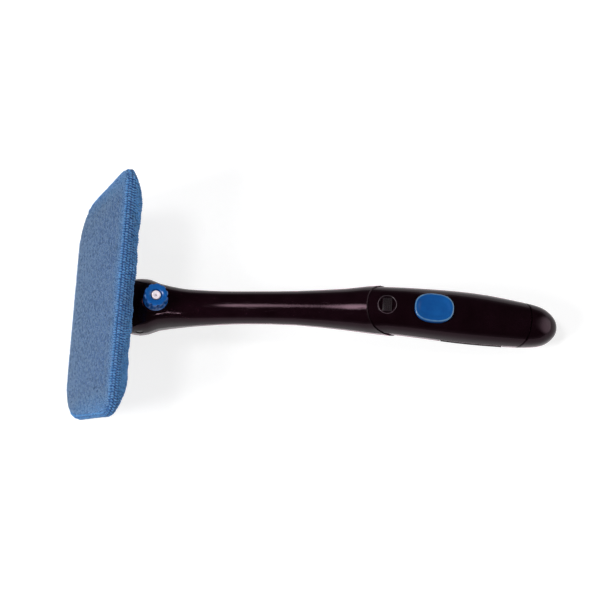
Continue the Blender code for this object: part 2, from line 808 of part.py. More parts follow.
def make_nozzle_insert():
    frame = nozzle_frame()
    high = NOZZLE_SEAT_RISE + FIT_GAP + NOZZLE_CAP_HEIGHT
    base = high - INSERT_DEPTH
    insert = turned("nozzle_insert", frame,
                    [(INSERT_RADIUS, base), (INSERT_RADIUS, high - INSERT_RECESS)],
                    white_plastic("nozzle_insert"))
    orifice = turned("nozzle_orifice", frame,
                     [(ORIFICE_RADIUS, base - OVERRUN), (ORIFICE_RADIUS, high + OVERRUN)],
                     steps=SMALL_STEPS)
    cut(insert, orifice)


# Grip.


def button_outline(inset=0.0):
    points = []
    for i in range(BUTTON_POINTS):
        angle = math.tau * i / BUTTON_POINTS
        x = (BUTTON_LENGTH / 2 - inset) * rounded(math.cos(angle), BUTTON_POWER)
        y = (BUTTON_WIDTH / 2 - inset) * rounded(math.sin(angle), BUTTON_POWER)
        points.append((x, y))
    return points


def strip_loop(x, low, high, margin):
    """The grip strip's section, wrapped round the lower skin between two insets."""
    drop = math.pi * STRIP_DROP_SHARE
    angles = [-drop - (math.pi - 2 * drop) * i / STRIP_STEPS for i in range(STRIP_STEPS + 1)]
    angles[0] += margin / half_depth(x)
    angles[-1] -= margin / half_depth(x)
    outer = [handle_point(x, 0.0, angle, low) for angle in angles]
    inner = [handle_point(x, 0.0, angle, high) for angle in reversed(angles)]
    return outer + inner


def strip_solid(name, low, high, margin, material=None):
    places = stations_between(STRIP_START - margin, STRIP_END + margin, HANDLE_SHARES)
    return loft(name, [strip_loop(x, low, high, margin) for x in places], material)


def make_grip_shells():
    start = NECK_SEAM_X + SEAM_GAP
    upper = shell_solid("grip_upper_shell", start, CAP_SEAM_X, True,
                        black_plastic("grip_upper_shell"))
    lower = shell_solid("grip_lower_shell", start, CAP_SEAM_X, False,
                        black_plastic("grip_lower_shell"))
    for shell, tag in ((upper, "upper"), (lower, "lower")):
        cavity = cavity_cutter(f"grip_cavity_{tag}", start - 2 * OVERRUN,
                               CAP_SEAM_X + 2 * OVERRUN, SHELL_WALL)
        cut(shell, cavity)
    frame = frame_on_top(BUTTON_X)
    hole = button_outline(-BUTTON_CLEARANCE)
    cut(upper, loft("button_way", [[frame @ Vector((x, y, z)) for x, y in hole]
                                   for z in (-BUTTON_SKIRT - OVERRUN, BUTTON_RISE + OVERRUN)]))
    latch = frame_on_top(LATCH_X)
    dish = turned("latch_dish", latch, [(DISH_RADIUS - DISH_DEPTH, -DISH_DEPTH),
                                        (DISH_RADIUS, OVERRUN)])
    window = block("latch_window", latch,
                   (-TAB_LENGTH / 2 - TAB_CLEARANCE, -TAB_WIDTH / 2 - TAB_CLEARANCE, -TAB_DEPTH),
                   (TAB_LENGTH / 2 + TAB_CLEARANCE, TAB_WIDTH / 2 + TAB_CLEARANCE, OVERRUN))
    cut(upper, dish, window)
    pocket = strip_solid("strip_pocket", -OVERRUN, STRIP_THICKNESS + FIT_GAP, 2 * FIT_GAP)
    cut(lower, pocket)
    for x, y in GRIP_SCREW_PLACES:
        fit_boss(upper, lower, x, y)


def make_grip_strip():
    strip_solid("grip_strip", -STRIP_PROUD, STRIP_THICKNESS, 0.0, dark_rubber("grip_strip"))


def bridge_depth():
    """How deep the latch's bridge lies under the skin, just clear of the water tube."""
    return half_depth(LATCH_X) - TUBE_RADIUS - FIT_GAP - BRIDGE_THICKNESS


def make_sleeve():
    """The neck's plug: a tube inside both handles, with the latch's window and bridge."""
    start = NECK_SEAM_X - SLEEVE_BACK
    end = NECK_SEAM_X + SLEEVE_FRONT
    outer = SHELL_WALL + FIT_GAP
    places = stations_between(start, end, HANDLE_SHARES)
    sleeve = loft("neck_plug", [full_loop(x, 0.0, outer) for x in places],
                  black_plastic("neck_plug"))
    inner_places = stations_between(start - OVERRUN, end + OVERRUN, HANDLE_SHARES)
    bore = loft("neck_plug_bore",
                [full_loop(x, 0.0, outer + SLEEVE_WALL) for x in inner_places])
    cut(sleeve, bore)
    latch = frame_on_top(LATCH_X)
    side = half_width(LATCH_X) - outer - SLEEVE_WALL / 2
    drop = half_depth(LATCH_X) - bridge_depth()
    side = side * (1 - (drop / half_depth(LATCH_X)) ** SECTION_POWER) ** (1 / SECTION_POWER)
    bridge = block("latch_bridge", latch,
                   (-BRIDGE_LENGTH / 2, -side, -bridge_depth() - BRIDGE_THICKNESS),
                   (BRIDGE_LENGTH / 2, side, -bridge_depth()))
    join(sleeve, bridge)
    clear = TAB_FLANGE + TAB_CLEARANCE
    window = block("plug_window", latch,
                   (-TAB_LENGTH / 2 - clear, -TAB_WIDTH / 2 - clear, -TAB_DEPTH),
                   (TAB_LENGTH / 2 + clear, TAB_WIDTH / 2 + clear, OVERRUN))
    cut(sleeve, window)


def make_latch_tab():
    latch = frame_on_top(LATCH_X)
    top = -TAB_LOW
    low = -TAB_DEPTH
    rows = ((0.0, low), (0.0, top - TAB_EDGE), (TAB_EDGE, top))
    loops = []
    for inset, height in rows:
        x = TAB_LENGTH / 2 - inset
        y = TAB_WIDTH / 2 - inset
        corners = ((-x, -y), (x, -y), (x, y), (-x, y))
        loops.append([latch @ Vector((px, py, height)) for px, py in corners])
    tab = loft("latch_tab", loops, black_plastic("latch_tab"))
    share = TAB_WIDTH / 2 / (half_width(LATCH_X) - SHELL_WALL)
    sag = half_depth(LATCH_X) * (1 - (1 - share**SECTION_POWER) ** (1 / SECTION_POWER))
    shelf = -SHELL_WALL - sag - 2 * FIT_GAP
    flange = block("latch_flange", latch,
                   (-TAB_LENGTH / 2 - TAB_FLANGE, -TAB_WIDTH / 2, shelf - TAB_FLANGE_HEIGHT),
                   (TAB_LENGTH / 2 + TAB_FLANGE, TAB_WIDTH / 2, shelf))
    join(tab, flange)


def make_latch_spring():
    latch = frame_on_top(LATCH_X)
    seat = latch @ Matrix.Translation((0.0, 0.0, -bridge_depth() + FIT_GAP))
    length = bridge_depth() - TAB_DEPTH - 2 * FIT_GAP
    spring("latch_spring", seat, LATCH_SPRING_RADIUS, LATCH_SPRING_WIRE, length,
           LATCH_SPRING_TURNS, steel("latch_spring"))


# Pump.


def make_button():
    """The thumb button: a raised rim round a shallow dish, and a skirt below."""
    frame = frame_on_top(BUTTON_X)
    rows = ((BUTTON_WALL, -BUTTON_TOP + BUTTON_RISE), (BUTTON_WALL, -BUTTON_SKIRT),
            (0.0, -BUTTON_SKIRT), (0.0, BUTTON_RISE - BUTTON_EDGE), (BUTTON_EDGE, BUTTON_RISE),
            (BUTTON_RIM, BUTTON_RISE), (BUTTON_RIM + BUTTON_EDGE, BUTTON_RISE - BUTTON_DISH / 2),
            (BUTTON_WIDTH / 4, BUTTON_RISE - BUTTON_DISH))
    loops = []
    for inset, height in rows:
        loops.append([frame @ Vector((x, y, height)) for x, y in button_outline(inset)])
    loft("pump_button", loops, blue_plastic("pump_button"))


def make_piston():
    frame = frame_on_top(BUTTON_X)
    top = BUTTON_RISE - BUTTON_TOP - FIT_GAP
    turned("pump_piston", frame,
           [(PUMP_BORE - FIT_GAP, -PISTON_DEPTH - PISTON_HEIGHT),
            (PUMP_BORE - FIT_GAP, -PISTON_DEPTH),
            (STEM_RADIUS, -PISTON_DEPTH), (STEM_RADIUS, top)],
           white_plastic("pump_piston"))


def pump_floor_depth():
    """How deep the pump stands so that its foot clears the lower shell's inside."""
    frame = frame_on_top(BUTTON_X)
    radius = PUMP_BORE + PUMP_WALL
    depths = []
    for x, y in circle(radius, SMALL_STEPS):
        place = frame @ Vector((x, y, 0.0))
        across = half_width(place.x) - SHELL_WALL
        tall = half_depth(place.x) - SHELL_WALL
        share = (1 - (abs(y) / across) ** SECTION_POWER) ** (1 / SECTION_POWER)
        floor = centre_height(place.x) - tall * share
        depths.append((place.z - floor) / math.cos(slope_at(BUTTON_X)))
    return min(depths) - FIT_GAP - SHELL_WALL / 2


def make_pump_cylinder():
    frame = frame_on_top(BUTTON_X)
    radius = PUMP_BORE + PUMP_WALL
    floor = -pump_floor_depth()
    bottom = -PUMP_TOP_DEPTH - PUMP_STROKE_DEPTH
    turned("pump_cylinder", frame,
           [(radius, floor), (radius, -PUMP_TOP_DEPTH), (PUMP_BORE, -PUMP_TOP_DEPTH),
            (PUMP_BORE, bottom)], white_plastic("pump_cylinder"))


def make_pump_collar():
    frame = frame_on_top(BUTTON_X)
    low = -PUMP_TOP_DEPTH + FIT_GAP
    high = low + COLLAR_THICKNESS
    outer = PUMP_BORE + PUMP_WALL
    inner = STEM_RADIUS + STEM_CLEARANCE
    turned_ring("pump_collar", frame, [(outer, low), (outer, high), (inner, high), (inner, low)],
                white_plastic("pump_collar"))


def make_pump_spring():
    frame = frame_on_top(BUTTON_X)
    base = -PUMP_TOP_DEPTH + COLLAR_THICKNESS + 2 * FIT_GAP
    top = BUTTON_RISE - BUTTON_TOP - FIT_GAP
    spring("pump_spring", frame @ Matrix.Translation((0.0, 0.0, base)), PUMP_SPRING_RADIUS,
           PUMP_SPRING_WIRE, top - base, PUMP_SPRING_TURNS, steel("pump_spring"))


def pump_side(depth, direction):
    """A point just outside the pump cylinder, at a depth, towards head or tail."""
    frame = frame_on_top(BUTTON_X)
    radius = PUMP_BORE + PUMP_WALL + 2 * FIT_GAP
    return frame @ Vector((direction * radius, 0.0, -depth))


def make_valves():
    outlet = pump_side(OUTLET_DEPTH, -1)
    inlet = pump_side(INLET_DEPTH, 1)
    profile = [(VALVE_RADIUS, 0.0), (VALVE_RADIUS, VALVE_LENGTH)]
    turned("outlet_valve", along_frame(outlet, -X_AXIS), profile, dark_rubber("outlet_valve"),
           SMALL_STEPS)
    turned("inlet_valve", along_frame(inlet, X_AXIS), profile, dark_rubber("inlet_valve"),
           SMALL_STEPS)


# Water tubes.


def coupling_ends():
    """The two ends of the coupling, which lies just behind the latch's bridge."""
    bridge_foot = Vector((BRIDGE_LENGTH / 2, 0.0, -bridge_depth() - BRIDGE_THICKNESS))
    near = (frame_on_top(LATCH_X) @ bridge_foot).x + COUPLING_CLEARANCE
    level = centre_height(near + COUPLING_LENGTH / 2)
    return Vector((near, 0.0, level)), Vector((near + COUPLING_LENGTH, 0.0, level))


def make_tubes():
    port = nozzle_port()
    near, far = coupling_ends()
    points = neck_tube_points(port + X_AXIS * FIT_GAP, near - X_AXIS * FIT_GAP)
    tube("neck_tube", points, TUBE_RADIUS, clear_plastic("neck_tube"))
    outlet = pump_side(OUTLET_DEPTH, -1) - X_AXIS * (VALVE_LENGTH + FIT_GAP)
    tube("grip_tube", led_run(far + X_AXIS * FIT_GAP, outlet, 8, TUBE_LEAD), TUBE_RADIUS,
         clear_plastic("grip_tube"))
    inlet = pump_side(INLET_DEPTH, 1) + X_AXIS * (VALVE_LENGTH + FIT_GAP)
    spout = Vector((TANK_START - FIT_GAP, 0.0, inlet.z))
    tube("suction_tube", [inlet, spout], TUBE_RADIUS, clear_plastic("suction_tube"))


def make_coupling():
    near, far = coupling_ends()
    turned("tube_coupling", along_frame(near, X_AXIS),
           [(COUPLING_RADIUS, 0.0), (COUPLING_RADIUS, COUPLING_LENGTH)],
           white_plastic("tube_coupling"), SMALL_STEPS)


# Tank and end cap.


def tail_direction():
    slope = centre_height(CAP_SEAM_X) - centre_height(CAP_SEAM_X - LEAN_RUN)
    return Vector((LEAN_RUN, 0.0, slope)).normalized()


def mouth_base():
    return Vector((TANK_END, 0.0, centre_height(TANK_END)))


def make_tank():
    outer = SHELL_WALL + TANK_CLEARANCE
    places = stations_between(TANK_START, TANK_END, HANDLE_SHARES)
    tank = loft("water_tank", [full_loop(x, 0.0, outer) for x in places],
                clear_plastic("water_tank"))
    axis = along_frame(mouth_base(), tail_direction())
    neck = turned("tank_neck", axis, [(MOUTH_RADIUS, -OVERRUN), (MOUTH_RADIUS, MOUTH_LENGTH)],
                  steps=SMALL_STEPS)
    join(tank, neck)
    inner = outer + TANK_WALL
    hollow_places = stations_between(TANK_START + TANK_WALL, TANK_END - TANK_WALL, HANDLE_SHARES)
    cut(tank, loft("tank_hollow", [full_loop(x, 0.0, inner) for x in hollow_places]))
    mouth = MOUTH_RADIUS - MOUTH_WALL
    cut(tank, turned("tank_mouth", axis, [(mouth, -2 * OVERRUN), (mouth, MOUTH_LENGTH + OVERRUN)],
                     steps=SMALL_STEPS))


def make_dip_tube():
    """From the tank's spout down to its floor, and along the floor to the back."""
    inlet = pump_side(INLET_DEPTH, 1)
    inset = SHELL_WALL + TANK_CLEARANCE + TANK_WALL + TUBE_RADIUS + DIP_TUBE_REST
    start = Vector((TANK_START + TANK_WALL + FIT_GAP, 0.0, inlet.z))
    foot_x = start.x + (TANK_END - TANK_START) * DIP_FOOT_SHARE
    end_x = TANK_START + (TANK_END - TANK_START) * DIP_END_SHARE
    foot = Vector((foot_x, 0.0, centre_height(foot_x) - half_depth(foot_x) + inset))
    end = Vector((end_x, 0.0, centre_height(end_x) - half_depth(end_x) + inset))
    points = [*led_run(start, foot, 8, TUBE_LEAD / 2), end]
    tube("dip_tube", points, TUBE_RADIUS, clear_plastic("dip_tube"))


def make_end_cap():
    places = stations_between(CAP_SEAM_X + SEAM_GAP, HANDLE_LENGTH, HANDLE_SHARES)
    cap = loft("end_cap", [full_loop(x, lean_at(x)) for x in places], black_plastic("end_cap"))
    step = tail_direction()
    inset = SHELL_WALL + 2 * FIT_GAP
    rim = full_loop(CAP_SEAM_X, lean_at(CAP_SEAM_X), inset)
    spigot = loft("cap_spigot", [[point - step * SPIGOT_LENGTH for point in rim],
                                 [point + step * SPIGOT_OVERLAP for point in shrunk(rim)]])
    join(cap, spigot)
    core = full_loop(CAP_SEAM_X, lean_at(CAP_SEAM_X), inset + SPIGOT_WALL)
    hollow = loft("cap_hollow", [[point - step * (SPIGOT_LENGTH + OVERRUN) for point in core],
                                 [point + step * SPIGOT_OVERLAP for point in shrunk(core)]])
    cut(cap, hollow)


def shrunk(points):
    """The same loop drawn in a little, as the tail narrows."""
    centre = sum(points, Vector()) / len(points)
    share = 1 - CAP_WALL / GRIP_DEPTH * 2
    return [centre + (point - centre) * share for point in points]


def make_stopper():
    """The rubber stopper on the end cap that closes the tank's mouth."""
    step = tail_direction()
    rim = mouth_base() + step * MOUTH_LENGTH
    axis = along_frame(rim, step)
    plug = MOUTH_RADIUS - MOUTH_WALL - FIT_GAP
    wall = Vector((CAP_SEAM_X, 0.0, centre_height(CAP_SEAM_X))) + step * SPIGOT_OVERLAP
    slant = plug * (CAP_SEAM_LEAN / 2 / half_depth(CAP_SEAM_X) - step.z)
    back = (wall - rim).dot(step) - slant - FIT_GAP
    turned("tank_stopper", axis,
           [(plug, -STOPPER_LENGTH), (plug, FIT_GAP), (STOPPER_FLANGE_RADIUS, FIT_GAP),
            (STOPPER_FLANGE_RADIUS, FIT_GAP + STOPPER_FLANGE), (plug, FIT_GAP + STOPPER_FLANGE),
            (plug, back)], dark_rubber("tank_stopper"))


# Head.


def head_frame():
    """X across the tool, Y up the wiping face from its leading edge, Z into the head."""
    tilt = math.radians(HEAD_TILT)
    up = Vector((math.cos(tilt), 0.0, math.sin(tilt)))
    into = Vector((math.sin(tilt), 0.0, -math.cos(tilt)))
    place = -into * (HEAD_DEPTH + HINGE_STANDOFF) - up * HINGE_OFFSET
    rotation = Matrix((Y_AXIS, up, into)).transposed().to_4x4()
    return Matrix.Translation(place) @ rotation


def arc_points(centre, radius, start, end, steps):
    points = []
    for i in range(steps + 1):
        angle = start + (end - start) * i / steps
        points.append(Vector((centre.x + radius * math.cos(angle),
                              centre.y + radius * math.sin(angle))))
    return points


def head_outline():
    """The head's outline seen on its face: a trapezoid with round corners, evenly stepped."""
    flare = math.atan2((RIDGE_LENGTH - LEADING_LENGTH) / 2, HEAD_WIDTH)
    low = -HEAD_WIDTH / 2
    high = HEAD_WIDTH / 2
    quarter = math.pi / 2
    low_turn = (quarter - flare) / 2
    high_turn = (quarter + flare) / 2
    low_in = LEADING_CORNER * math.tan(low_turn)
    high_in = RIDGE_CORNER * math.tan(high_turn)
    low_centre = Vector((LEADING_LENGTH / 2 - low_in, low + LEADING_CORNER))
    high_centre = Vector((RIDGE_LENGTH / 2 - high_in, high - RIDGE_CORNER))
    right = arc_points(low_centre, LEADING_CORNER, -quarter, -flare, 8)
    right += arc_points(high_centre, RIDGE_CORNER, -flare, quarter, 8)
    left = [Vector((-point.x, point.y)) for point in reversed(right)]
    middle_low = Vector((0.0, low))
    middle_high = Vector((0.0, high))
    return resample([middle_low, *right, middle_high, *left], OUTLINE_POINTS)


def resample(points, count):
    """A closed run of points made evenly spaced along its length."""
    closed = points + points[:1]
    lengths = [0.0]
    for a, b in zip(closed, closed[1:]):
        lengths.append(lengths[-1] + (b - a).length)
    evenly = []
    for i in range(count):
        at = lengths[-1] * i / count
        k = max(j for j in range(len(lengths) - 1) if lengths[j] <= at)
        share = (at - lengths[k]) / max(lengths[k + 1] - lengths[k], FIT_GAP / 2)
        evenly.append(closed[k].lerp(closed[k + 1], share))
    return evenly


def head_ring(frame, outline, inset, depth, wave=0.0, cover=0.0):
    """The outline drawn in by an inset, at a depth behind the face and so far under cover.

    The cloth runs round the head's ends to the hem, so the head narrows towards its back.
    """
    back = min(max(depth + cover - CLOTH_EDGE, 0.0) / (HEAD_DEPTH - CLOTH_EDGE), 1.0)
    across = 1 - (inset + END_DRAW * back**2) / (RIDGE_LENGTH / 2)
    upward = 1 - (inset + BACK_DRAW * back**2) / (HEAD_WIDTH / 2)
    ring = []
    for i, point in enumerate(outline):
        ripple = wave * math.sin(math.tau * HEM_WAVES * i / len(outline))
        ring.append(frame @ Vector((point.x * across, point.y * upward, depth + ripple)))
    return ring


def make_bonnet():
    """The cloth cover: a crowned face, rounded flanks and a hem drawn in behind the plate."""
    frame = head_frame()
    outline = head_outline()
    half = HEAD_WIDTH / 2
    wall = CLOTH_THICKNESS
    edge = CLOTH_EDGE
    back = HEAD_DEPTH
    inside_back = PLATE_DEPTH + PLATE_THICKNESS + CLOTH_CLEARANCE
    rows = (
        (half * 0.80, -CLOTH_CROWN, 0.0), (half * 0.50, -CLOTH_CROWN * 0.8, 0.0),
        (half * 0.24, -CLOTH_CROWN * 0.35, 0.0), (edge * 0.6, edge * 0.06, 0.0),
        (edge * 0.2, edge * 0.30, 0.0), (0.0, edge, 0.0), (0.0, back * 0.60, 0.0),
        (edge * 0.05, back - edge * 0.5, 0.0), (edge * 0.3, back - edge * 0.08, 0.0),
        (HEM_TURN, back, HEM_WAVE),
    )
    lining = (
        (HEM_TURN, inside_back, HEM_WAVE / 2), (wall * 1.5, inside_back, 0.0),
        (wall, inside_back - wall / 2, 0.0), (wall, back * 0.60 - wall, 0.0), (wall, edge, 0.0),
        (edge * 0.7, wall, 0.0), (half * 0.75, wall - CLOTH_CROWN * 0.8, 0.0),
    )
    loops = [head_ring(frame, outline, inset, depth, wave) for inset, depth, wave in rows]
    loops += [head_ring(frame, outline, inset, depth, wave, wall) for inset, depth, wave in lining]
    return loft("microfibre_bonnet", loops, blue_cloth("microfibre_bonnet"))


def make_hem_cord():
    """The elastic that draws the hem in, a ring just inside the hem's edge."""
    frame = head_frame()
    inset = HEM_TURN + HEM_CORD_RADIUS + FIT_GAP
    depth = PLATE_DEPTH + PLATE_THICKNESS + CLOTH_CLEARANCE + 2 * HEM_CORD_RADIUS
    points = head_ring(frame, head_outline(), inset, depth, 0.0, CLOTH_THICKNESS)
    curve_item = tube("hem_elastic", points, HEM_CORD_RADIUS, dark_rubber("hem_elastic"))
    curve_item.data.splines[0].use_cyclic_u = True
    curve_item.data.use_fill_caps = False
    curve_item.data.bevel_resolution = 1


def make_foam_pad():
    frame = head_frame()
    outline = head_outline()
    half = HEAD_WIDTH / 2
    skin = CLOTH_THICKNESS + CLOTH_CLEARANCE
    front = skin + FIT_GAP
    back = PLATE_DEPTH - FIT_GAP
    middle = (front + 2 * FOAM_EDGE + back) / 2
    rows = ((half * 0.75, front - CLOTH_CROWN * 0.8), (CLOTH_EDGE, front + FIT_GAP),
            (skin + FOAM_EDGE / 2, front + FOAM_EDGE), (skin, middle), (skin, back))
    loops = [head_ring(frame, outline, inset, depth, 0.0, skin) for inset, depth in rows]
    loft("foam_pad", loops, foam("foam_pad"))


def make_head_plate():
    frame = head_frame()
    outline = head_outline()
    inset = CLOTH_THICKNESS * 1.1 + CLOTH_CLEARANCE + CLOTH_THICKNESS / 2
    cover = CLOTH_THICKNESS + CLOTH_CLEARANCE
    loops = [head_ring(frame, outline, inset, PLATE_DEPTH, 0.0, cover),
             head_ring(frame, outline, inset, PLATE_DEPTH + PLATE_THICKNESS, 0.0, cover)]
    plate = loft("head_plate", loops, black_plastic("head_plate"))
    for tag, x, y in bracket_screw_places():
        way = turned(f"plate_way_{tag}", frame @ Matrix.Translation((x, y, 0.0)),
                     [(SCREW_RADIUS + FIT_GAP, PLATE_DEPTH - OVERRUN),
                      (SCREW_RADIUS + FIT_GAP, PLATE_DEPTH + PLATE_THICKNESS + OVERRUN)],
                     steps=SMALL_STEPS)
        cut(plate, way)


def bracket_screw_places():
    across = BRACKET_LENGTH / 2 - BRACKET_SCREW_IN
    low = BRACKET_LOW + BRACKET_SCREW_IN
    high = BRACKET_HIGH - BRACKET_SCREW_IN
    places = [(side * across, y) for side in (-1, 1) for y in (low, high)]
    return [(i, x, y) for i, (x, y) in enumerate(places, 1)]


def bracket_base():
    return PLATE_DEPTH + PLATE_THICKNESS + FIT_GAP


def make_bracket():
    """The hinge bracket: a base on the plate's back and a knuckle round the pin."""
    frame = head_frame()
    base = bracket_base()
    top = base + BRACKET_THICKNESS
    bracket = block("head_bracket", frame, (-BRACKET_LENGTH / 2, BRACKET_LOW, base),
                    (BRACKET_LENGTH / 2, BRACKET_HIGH, top), black_plastic("head_bracket"))
    bevel = bracket.modifiers.new("round_corners", "BEVEL")
    bevel.width = BRACKET_THICKNESS / 3
    bevel.segments = 2
    half = KNUCKLE_WIDTH / 2
    hinge_depth = HEAD_DEPTH + HINGE_STANDOFF
    outline = [(WEB_LOW, base + BRACKET_THICKNESS / 2),
               (HINGE_OFFSET - KNUCKLE_RADIUS * 0.95, hinge_depth - KNUCKLE_RADIUS / 3)]
    steps = SMALL_STEPS
    for i in range(1, steps):
        angle = math.pi * (1 - i / steps)
        outline.append((HINGE_OFFSET + KNUCKLE_RADIUS * math.cos(angle),
                        hinge_depth + KNUCKLE_RADIUS * math.sin(angle)))
    outline.append((HINGE_OFFSET + KNUCKLE_RADIUS, hinge_depth))
    outline.append((BRACKET_HIGH - BRACKET_THICKNESS / 2, base + BRACKET_THICKNESS / 2))
    loops = [[frame @ Vector((x, y, z)) for y, z in outline] for x in (-half, half)]
    join(bracket, loft("knuckle", loops))
    for tag, x, y in bracket_screw_places():
        way = turned(f"bracket_way_{tag}", frame @ Matrix.Translation((x, y, 0.0)),
                     [(SCREW_RADIUS + FIT_GAP, base - OVERRUN),
                      (SCREW_RADIUS + FIT_GAP, top + OVERRUN)], steps=SMALL_STEPS)
        cut(bracket, way)
    cut(bracket, turned("knuckle_bore", cross_frame(0.0, 0.0),
                        [(PIN_RADIUS + FIT_GAP, -KNUCKLE_WIDTH),
                         (PIN_RADIUS + FIT_GAP, KNUCKLE_WIDTH)]))


def make_bracket_screws():
    frame = head_frame()
    top = bracket_base() + BRACKET_THICKNESS + FIT_GAP
    profile = [(SCREW_RADIUS, top - BRACKET_SCREW_LENGTH), (SCREW_RADIUS, top),
               (SCREW_HEAD_RADIUS, top), (SCREW_HEAD_RADIUS, top + SCREW_HEAD_HEIGHT)]
    for number, x, y in bracket_screw_places():
        name = f"bracket_screw_{number}"
        turned(name, frame @ Matrix.Translation((x, y, 0.0)), profile, steel(name), SMALL_STEPS)


# Bodies: each moving piece hangs from an empty that stands on its joint.


def make_empty(name, place, parent=None):
    item = bpy.data.objects.new(name, None)
    bpy.context.scene.collection.objects.link(item)
    item.location = place
    if parent:
        item.parent = parent
        item.location = place - parent.location
    return item


def hang(names, empty):
    for name in names:
        item = bpy.data.objects[name]
        item.parent = empty
        item.location = -empty.location


def assemble():
    root = make_empty("tool", Vector())
    nozzle = nozzle_frame()
    button = frame_on_top(BUTTON_X)
    latch = frame_on_top(LATCH_X)
    head = ["microfibre_bonnet", "hem_elastic", "foam_pad", "head_plate", "head_bracket"]
    head += [f"bracket_screw_{number}" for number, _, _ in bracket_screw_places()]
    hang(head, make_empty("head_pivot", Vector(), root))
    hang(("nozzle_cap",), make_empty("nozzle_axis", nozzle.translation, root))
    hang(("pump_button", "pump_piston"), make_empty("pump_axis", button.translation, root))
    hang(("latch_tab",), make_empty("latch_axis", latch.translation, root))
    hang(("end_cap", "tank_stopper"), make_empty("cap_axis", mouth_base(), root))
    for item in bpy.data.objects:
        if item.type != "EMPTY" and item.parent is None:
            item.parent = root
    root.rotation_euler.y = math.radians(REST_PITCH)
    set_down(root)
    report_joints(root.matrix_world, nozzle, button, latch)


def set_down(root):
    """Moves the tool so that it stands on Z = 0 with its box centred on X and Y."""
    bpy.context.view_layer.update()
    graph = bpy.context.evaluated_depsgraph_get()
    low = Vector((math.inf,) * 3)
    high = -low
    for item in bpy.data.objects:
        if item.type == "EMPTY" or item.hide_render:
            continue
        whole = item.evaluated_get(graph)
        mesh = whole.to_mesh()
        for vertex in mesh.vertices:
            point = whole.matrix_world @ vertex.co
            low = Vector(map(min, low, point))
            high = Vector(map(max, high, point))
        whole.to_mesh_clear()
    root.location = Vector((-(low.x + high.x) / 2, -(low.y + high.y) / 2, -low.z))
    bpy.context.view_layer.update()


def report_joints(world, nozzle, button, latch):
    """Prints where each joint lies and which way it runs, in the finished frame."""
    print("hinge pin at", rounded_place(world.translation))
    mouth = along_frame(mouth_base(), tail_direction())
    face = head_frame() @ Matrix.Translation((0.0, 0.0, -CLOTH_CROWN))
    frames = {"nozzle": nozzle, "button": button, "latch": latch, "end cap": mouth, "face": face}
    for name, frame in frames.items():
        placed = world @ frame
        print(name, "at", rounded_place(placed.translation),
              "along", rounded_place(placed.to_3x3() @ Z_AXIS))
    print("spring gaps", spring_gap(PUMP_TOP_DEPTH, PUMP_SPRING_TURNS, PUMP_SPRING_WIRE),
          spring_gap(bridge_depth() - TAB_DEPTH, LATCH_SPRING_TURNS, LATCH_SPRING_WIRE))


def spring_gap(length, turns, wire):
    """The least room between two turns of a spring about this long."""
    return round((length - 2 * wire) / turns - 2 * wire, 5)


def rounded_place(vector):
    return tuple(round(value, 6) for value in vector)


def main():
    clear_scene()
    make_neck_shells()
    make_hinge_pin()
    make_washers()
    make_nozzle_body()
    make_nozzle_gasket()
    make_nozzle_cap()
    make_nozzle_insert()
    make_grip_shells()
    make_grip_strip()
    make_sleeve()
    make_latch_tab()
    make_latch_spring()
    make_button()
    make_piston()
    make_pump_cylinder()
    make_pump_collar()
    make_pump_spring()
    make_valves()
    make_tubes()
    make_coupling()
    make_tank()
    make_dip_tube()
    make_end_cap()
    make_stopper()
    make_bonnet()
    make_hem_cord()
    make_foam_pad()
    make_head_plate()
    make_bracket()
    make_bracket_screws()
    shell_screws("neck_screw", NECK_SCREW_PLACES)
    shell_screws("grip_screw", GRIP_SCREW_PLACES)
    assemble()


main()
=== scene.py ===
# %% [markdown]
# # Dressing a window cleaning brush
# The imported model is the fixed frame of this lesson: every solid of the brush is already in its
# place, in metres. Here the visible pieces are made finer, and every piece gets a finish that is
# worked out by nodes. The frame is loaded first, and all that it selects is let go, because an
# operator works on whatever is selected.

# %% The frame
import json
import math
import random

import bmesh
import bpy
import numpy as np
from mathutils import Matrix, Vector
from mathutils.bvhtree import BVHTree

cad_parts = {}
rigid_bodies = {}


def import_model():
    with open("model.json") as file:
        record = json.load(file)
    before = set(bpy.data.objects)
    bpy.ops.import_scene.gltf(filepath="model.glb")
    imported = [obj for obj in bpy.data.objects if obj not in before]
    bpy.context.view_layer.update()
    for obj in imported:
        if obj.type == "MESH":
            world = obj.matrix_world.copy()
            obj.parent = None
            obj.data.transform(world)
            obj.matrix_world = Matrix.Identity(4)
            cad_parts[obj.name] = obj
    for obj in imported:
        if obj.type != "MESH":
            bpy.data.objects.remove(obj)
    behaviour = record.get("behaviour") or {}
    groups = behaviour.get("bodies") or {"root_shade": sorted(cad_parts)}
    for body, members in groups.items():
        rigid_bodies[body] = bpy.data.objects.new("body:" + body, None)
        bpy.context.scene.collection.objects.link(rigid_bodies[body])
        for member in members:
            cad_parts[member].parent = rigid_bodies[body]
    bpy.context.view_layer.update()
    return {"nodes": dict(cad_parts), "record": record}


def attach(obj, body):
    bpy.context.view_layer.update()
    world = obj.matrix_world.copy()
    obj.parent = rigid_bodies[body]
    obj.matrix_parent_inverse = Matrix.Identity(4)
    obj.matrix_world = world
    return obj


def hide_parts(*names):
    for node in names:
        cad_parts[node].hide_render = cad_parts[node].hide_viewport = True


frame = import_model()
nodes = frame["nodes"]


def deselect_all():
    for item in bpy.data.objects:
        item.select_set(False)


deselect_all()

# %% [markdown]
# ## The camera
# The photograph was taken from well above, from a distance, with the tool turned a little in the
# picture. A long lens far away keeps lines nearly parallel, as they are in the photograph. The
# camera looks at a fixed point, and is then rolled about its own line of sight.

# %% The camera
CAMERA_PLACE = Vector((0.3324, -0.9002, 2.7830))
CAMERA_TARGET = Vector((-0.00956, 0.01271, 0.030))
CAMERA_ROLL = -17.753
CAMERA_LENS = 206.03
CAMERA_REACH = 60.0

